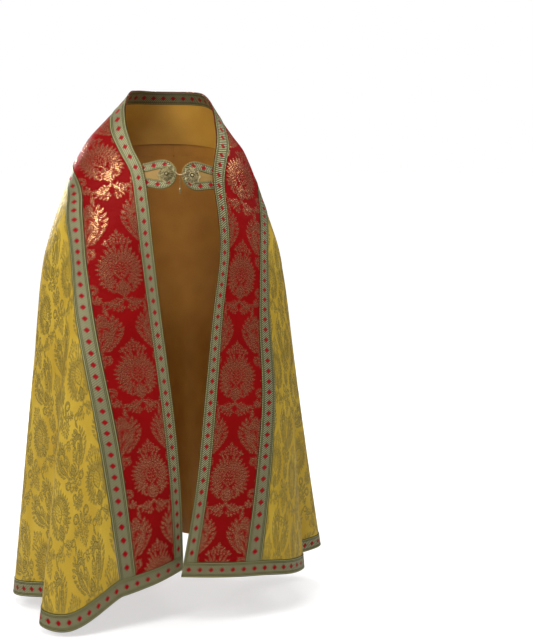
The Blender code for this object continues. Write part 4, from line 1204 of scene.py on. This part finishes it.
# Shares of the brooch's radius; those of the line inside the rim are shares of the rim's.
PLATE_FOOT, PLATE_TOP, RIM, RIM_LINE, BEADS, RING, BOSS = 0.84, 0.78, 0.95, 0.9, 0.80, 0.32, 0.15
RIM_LEVEL, LINE_LEVEL, BEAD_LEVEL, RING_LEVEL, BOSS_LEVEL = 0.0012, 0.0018, 0.0017, 0.0036, 0.0038
RIM_WIRE, LINE_WIRE, RING_WIRE, BEAD_RADIUS = 0.0009, 0.0005, 0.0008, 0.0011
BOSS_FLATNESS = 0.55
RIM_PARTS, RING_PARTS, LOOP_PARTS = 10 * BROOCH_PETALS, 24, 14
LOOPS = [    # centre, length and width in brooch radii, heights of its foot and its tip, and its wire
    (0.30, 0.62, 0.23, 0.0036, 0.0018, 0.0008),
    (0.46, 0.36, 0.10, 0.0034, 0.0022, 0.0006),
]


def make_brooch(name, looks, frame):
    """Openwork rosette of wire loops and beads on a thin plate, with a boss in the middle."""
    bm = bmesh.new()
    size = BROOCH_RADIUS
    plate = bmesh.ops.create_cone(bm, cap_ends=True, segments=32, radius1=PLATE_FOOT * size,
                                  radius2=PLATE_TOP * size, depth=PLATE_THICKNESS)["verts"]
    bmesh.ops.translate(bm, verts=plate, vec=(0, 0, PLATE_THICKNESS / 2))
    plate_faces = {face for vert in plate for face in vert.link_faces}
    rim = []
    for a in angles_round(RIM_PARTS):
        r = size * (RIM + BROOCH_SCALLOP * math.cos(BROOCH_PETALS * a))
        rim.append((r * math.cos(a), r * math.sin(a), RIM_LEVEL))
    add_tube(bm, rim, RIM_WIRE, closed=True)
    add_tube(bm, [(RIM_LINE * x, RIM_LINE * y, LINE_LEVEL) for x, y, _ in rim], LINE_WIRE, closed=True)
    for a in angles_round(BROOCH_PETALS):
        for centre, length, width, height, tip_height, wire in LOOPS:
            loop = loop_points(centre * size, length * size, width * size, a, height, tip_height)
            add_tube(bm, loop, wire, 5, closed=True)
        half = a + math.pi / BROOCH_PETALS
        bead = bmesh.ops.create_icosphere(bm, subdivisions=1, radius=BEAD_RADIUS)["verts"]
        place = (BEADS * size * math.cos(half), BEADS * size * math.sin(half), BEAD_LEVEL)
        bmesh.ops.translate(bm, verts=bead, vec=place)
    ring = [(RING * size * math.cos(a), RING * size * math.sin(a), RING_LEVEL)
            for a in angles_round(RING_PARTS)]
    add_tube(bm, ring, RING_WIRE, closed=True)
    boss = bmesh.ops.create_uvsphere(bm, u_segments=16, v_segments=8, radius=BOSS * size)["verts"]
    bmesh.ops.scale(bm, verts=boss, vec=(1, 1, BOSS_FLATNESS))
    bmesh.ops.translate(bm, verts=boss, vec=(0, 0, BOSS_LEVEL))
    # The plate takes the second look, gilt darkened to painted shade between the wires.
    for face in plate_faces:
        face.material_index = 1
    bm.transform(frame @ Matrix.Translation((BROOCH_CENTRE, 0, BROOCH_BASE)))
    return link(name, bm, looks)


def make_binding(name, look, frame):
    """Corded binding round the tab's edge."""
    bm = bmesh.new()
    add_tube(bm, [(point.x, point.y, -TAB / 2) for point in tab_outline()], BINDING, 8)
    bm.transform(frame)
    return link(name, bm, [look])


def make_hook(look, frames):
    """Hook of one brooch in the eye of the other. Returns it and the place that the drop hangs from."""
    rim = BROOCH_CENTRE + (1 + BROOCH_SCALLOP) * BROOCH_RADIUS + GAP
    height = BROOCH_BASE + HOOK_HEIGHT
    start, end = (frames[side] @ Vector((rim, 0, height)) for side in (-1, 1))
    bm = bmesh.new()
    wire = [start.lerp(end, t) + HOOK_BOW * math.sin(math.pi * t) for t in evenly(0, 1, 1 / HOOK_PARTS)]
    add_tube(bm, wire, 0.8 * WIRE, 8, up=(0, 1, 0))
    for place in (start, end):
        ring = [place + RING_RADIUS * Vector((math.cos(a), 0, math.sin(a)))
                for a in angles_round(HOOK_PARTS)]
        add_tube(bm, ring, 0.6 * WIRE, 6, closed=True, up=(0, 1, 0))
    return link("clasp_hook_and_eye", bm, [look]), wire[9]


UP = Vector((0, 0, 1))
LINKS, LINK_LENGTH, LINK_WIDTH, LINK_WIRE = 8, 0.0058, 0.0017, 0.00045
CHAIN_START, PENDANT_LENGTH = 0.002, 0.0190
PENDANT_PROFILE = [    # radius and level below the chain's end
    (0.0007, 0.0), (0.0012, 0.0012), (0.0009, 0.0022), (0.0026, 0.0045), (0.0034, 0.0080), (0.0031, 0.0115),
    (0.0018, 0.0150), (0.0010, 0.0165), (0.0014, 0.0178), (0.0004, 0.0190),
]


def make_drop(look, top):
    """Chain of oval links, each turned square to the next, and a small pendant."""
    bm = bmesh.new()
    pitch = (DROP_LENGTH - PENDANT_LENGTH - CHAIN_START) / LINKS
    for number in range(LINKS):
        middle = top - UP * (CHAIN_START + pitch * (number + 0.5))
        flat = Vector((1, 0, 0)) if number % 2 else Vector((0, 1, 0))
        points = [middle + flat * LINK_WIDTH * math.cos(a) + UP * (LINK_LENGTH / 2 * math.sin(a))
                  for a in angles_round(LOOP_PARTS)]
        add_tube(bm, points, LINK_WIRE, 6, closed=True, up=flat.cross(UP))
    foot = top - UP * (DROP_LENGTH - PENDANT_LENGTH)
    profile = [bm.verts.new(foot + Vector((r, 0, -level))) for r, level in PENDANT_PROFILE]
    rod = [bm.edges.new(ends) for ends in zip(profile, profile[1:])]
    bmesh.ops.spin(bm, geom=profile + rod, cent=foot, axis=(0, 0, 1), angle=2 * math.pi, steps=16)
    bmesh.ops.remove_doubles(bm, verts=bm.verts, dist=1e-6)
    bmesh.ops.holes_fill(bm, edges=[edge for edge in bm.edges if edge.is_boundary], sides=0)
    return link("clasp_chain_and_pendant", bm, [look])


def gilt_look(name, light, shade):
    """Antique gilt wire, in random patches between a light and a dull tone."""
    made, graph = new_material(name, Metallic=0.9, Roughness=0.34)
    place = graph.add("TexCoord", output="Object")
    tone = graph.line(graph.noise(place, 260.0, 2.0), 2.2, -0.5, clamp=True)
    graph.shade("Base Color", graph.tint(tone, shade, light))
    graph.bump(graph.noise(place, 900.0, 1.0), 0.0003, 0.4)
    return made


def tab_cloth_look():
    made, graph = new_material("tab_cloth", Specular_IOR_Level=0.3, Roughness=0.5, Metallic=0.15)
    place = graph.add("TexCoord", output="Object")
    threads = graph.noise(graph.vector("MULTIPLY", place, (500, 500, 1500)), 1.0, 1.0)
    graph.shade("Base Color", graph.tint(threads, (0.24, 0.13, 0.030), (0.46, 0.29, 0.085)))
    graph.bump(threads, 0.0004, 0.6)
    return made


# ---------------------------------------------------------------- camera and studio

CAMERA_PLACE = (0.0, -3.5, -0.11)
CAMERA_DOWN, CAMERA_RIGHT = 8.4, 4.5
CAMERA_LENS, SENSOR_WIDTH = 65.65, 36
FLOOR_LEVEL, FLOOR_RADIUS = -1.495, 60
FLOOR_COLOR = (0.5, 0.5, 0.5)
FLOOR_GLOW, FAR_GLOW, GLOW_REACH = 0.62, 0.97, (1.5, 9.0)
WORLD_LIGHT, BACKDROP = 0.21, 1.0
WHITE = (1, 1, 1, 1)
LAMPS = [    # name, place, aim, size, power
    ("key", (-2.6, -2.5, 1.6), (0, 0, -0.5), (1.5, 1.5), 84),
    ("front", (-0.2, -2.7, 4.0), (0, 0, -0.9), (2.4, 1.4), 150),
    ("back_key", (-2.2, 3.0, 0.5), (0, 0, -0.4), (0.9, 0.9), 84),
    ("back", (-0.2, 2.7, 4.0), (0, 0, -0.9), (2.4, 1.4), 124),
    ("left", (3.6, 0.0, 2.4), (0, 0, -0.7), (2.0, 2.0), 65),
]


def put(name, data, place, turn):
    """Object of a camera or a lamp, at a place and turned."""
    made = bpy.data.objects.new(name, data)
    bpy.context.scene.collection.objects.link(made)
    made.location = place
    made.rotation_euler = turn
    return made


def set_up_camera():
    lens = bpy.data.cameras.new("studio_camera")
    lens.lens, lens.sensor_width = CAMERA_LENS, SENSOR_WIDTH
    turn = (math.radians(90 - CAMERA_DOWN), 0, math.radians(-CAMERA_RIGHT))
    bpy.context.scene.camera = put("studio_camera", lens, CAMERA_PLACE, turn)


def seen_and_given(graph, strength, seen, given):
    """Feed a strength with one number where the camera looks and another for the light that it gives."""
    looked_at = graph.add("LightPath", output="Is Camera Ray")
    graph.feed(strength, graph.add("MapRange", looked_at, 0, 1, given, seen))


def set_up_studio():
    """White studio: what the camera sees of it is brighter than the light that it gives."""
    world = bpy.data.worlds.new("studio")
    world.use_nodes = True
    background = world.node_tree.nodes["Background"]
    background.inputs["Color"].default_value = WHITE
    seen_and_given(Graph(world.node_tree), background.inputs["Strength"], BACKDROP, WORLD_LIGHT)
    bpy.context.scene.world = world
    bpy.context.scene.view_settings.view_transform = "Standard"
    for name, place, aim, size, power in LAMPS:
        lamp = bpy.data.lights.new(name, "AREA")
        lamp.shape = "RECTANGLE"
        lamp.size, lamp.size_y = size
        lamp.energy = power
        put(name, lamp, place, (Vector(aim) - Vector(place)).to_track_quat("-Z", "Y").to_euler())
    pale, graph = new_material("pale_floor", Base_Color=(*FLOOR_COLOR, 1), Roughness=1.0,
                               Specular_IOR_Level=0.0, Emission_Color=WHITE)
    distance = graph.add("VectorMath", graph.add("TexCoord", output="Object"),
                         operation="LENGTH", output="Value")
    glow = graph.add("MapRange", distance, *GLOW_REACH, FLOOR_GLOW, FAR_GLOW)
    seen_and_given(graph, graph.shader.inputs["Emission Strength"], glow, 0)
    bm = bmesh.new()
    bmesh.ops.create_circle(bm, cap_ends=True, segments=64, radius=FLOOR_RADIUS)
    floor = link("floor", bm, [pale])
    floor.location.z = FLOOR_LEVEL


# ---------------------------------------------------------------- build

set_up_camera()
set_up_studio()

damask = make_damask()
RED = Brocade(ground=(0.29, 0.0030, 0.0034), ground_shade=(0.22, 0.0018, 0.0022),
              metal=(0.90, 0.50, 0.24), dull=(0.15, 0.009, 0.005), outline=(0.12, 0.005, 0.003),
              outline_share=0.35, shine=1.0, gloss=0.06)
GOLD = Brocade(ground=(0.67, 0.465, 0.058), ground_shade=(0.45, 0.275, 0.022),
               metal=(0.74, 0.62, 0.20), dull=(0.255, 0.168, 0.018), outline=(0.105, 0.068, 0.006),
               outline_share=0.80, shine=0.85, gloss=0.16)
gold_cloth = brocade("gold_brocade", damask, GOLD, BODY_PLACE)
red_right = brocade("red_brocade_right", damask, RED, BAND_PLACE)
red_left = brocade("red_brocade_left", damask, RED, BAND_PLACE)
red_hood = brocade("red_brocade_hood", damask, RED, HOOD_PLACE)
braid = braid_look("wide_braid", GALLOON_WIDTH)
centre_look = braid_look("centre_braid", CENTRE_GALLOON_WIDTH)
hood_look = braid_look("hood_braid", HOOD_GALLOON)
satin = satin_look("orange_satin", (0.62, 0.30, 0.052), (0.42, 0.17, 0.025))

body = make_body([gold_cloth, satin])
orphrey_right = make_orphrey("orphrey_right_cloth", -1, [red_right, satin])
orphrey_left = make_orphrey("orphrey_left_cloth", 1, [red_left, satin])
edge_braid = make_band_braid("edge_braid", [braid], 0, GALLOON_WIDTH)
seam_braid = make_band_braid("seam_braid", [braid], ORPHREY_WIDTH - GALLOON_WIDTH, ORPHREY_WIDTH - GAP)
centre_braid = make_centre_braid([centre_look])
hem_braid = make_hem_braid([braid])
facing = make_band_braid("collar_braid_facing", [braid], 0, GALLOON_WIDTH,
                         (-GAP - BRAID, -GAP), FACING_REACH)
# The neck lining takes a lighter copy of the orange satin: painted light against the shade inside the
# collar.
lining = make_neck_lining([satin_look("neck_satin", (0.82, 0.47, 0.080), (0.60, 0.29, 0.040))])
hood = make_hood([red_hood])
hood_braid = make_hood_braid([hood_look])
bullion = bullion_look()
strands = make_fringe(bullion)
heading = make_fringe_header(satin_look("heading", (0.40, 0.26, 0.09), (0.20, 0.11, 0.035)))

tab_cloth = tab_cloth_look()
tab_braid_look = braid_look("tab_braid", TAB_GALLOON)
pale_gilt = gilt_look("pale_gilt", (0.86, 0.72, 0.40), (0.24, 0.18, 0.07))
dull_gilt = gilt_look("dull_gilt", (0.60, 0.50, 0.25), (0.13, 0.105, 0.040))
# The brooch plate is gilt darkened almost to black: painted shade seen between the wires.
plate_gilt_painted_shade = gilt_look("plate_gilt_painted_shade", (0.12, 0.095, 0.035), (0.035, 0.030, 0.012))
HANDS = {-1: "right", 1: "left"}
frames = {side: tab_frame(side) for side in HANDS}
tabs, tab_braids, bindings, brooches = {}, {}, {}, {}
for side, gilt in ((-1, dull_gilt), (1, pale_gilt)):
    hand = HANDS[side]
    tabs[side] = make_tab(f"tab_{hand}_cloth", [tab_cloth], frames[side])
    tab_braids[side] = make_tab_braid(f"tab_{hand}_braid", tab_braid_look, frames[side])
    bindings[side] = make_binding(f"tab_{hand}_binding", tab_cloth, frames[side])
    brooches[side] = make_brooch(f"brooch_{hand}_openwork", [gilt, plate_gilt_painted_shade], frames[side])
hook, drop_place = make_hook(pale_gilt, frames)
drop = make_drop(dull_gilt, drop_place - Vector((0, 0, WIRE + GAP)))

REPLACED = [
    (body, "body", "gold_brocade"), (orphrey_right, "orphrey_right", "red_brocade"),
    (orphrey_left, "orphrey_left", "red_brocade"), (edge_braid, "edge_galloon", "galloon"),
    (seam_braid, "seam_galloon", "galloon"), (centre_braid, "centre_galloon", "galloon"),
    (hem_braid, "hem_galloon", "galloon"), (facing, "collar_facing", "galloon"),
    (lining, "neck_lining", "lining_satin"), (hood, "hood", "red_brocade"),
    (hood_braid, "hood_galloon", "galloon"), (strands, "hood_fringe", "bullion"),
    (heading, "hood_fringe", "bullion"),
    (hook, "clasp_hook", "antique_gold"), (drop, "clasp_drop", "antique_gold"),
]
for side, hand in HANDS.items():
    REPLACED += [
        (tabs[side], f"clasp_tab_{hand}", "tab_cloth"), (bindings[side], f"clasp_tab_{hand}", "tab_cloth"),
        (tab_braids[side], f"clasp_galloon_{hand}", "galloon"),
        (brooches[side], f"brooch_{hand}", "antique_gold"),
    ]
for piece, node, slot in REPLACED:
    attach(piece, "root")
    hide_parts(node)
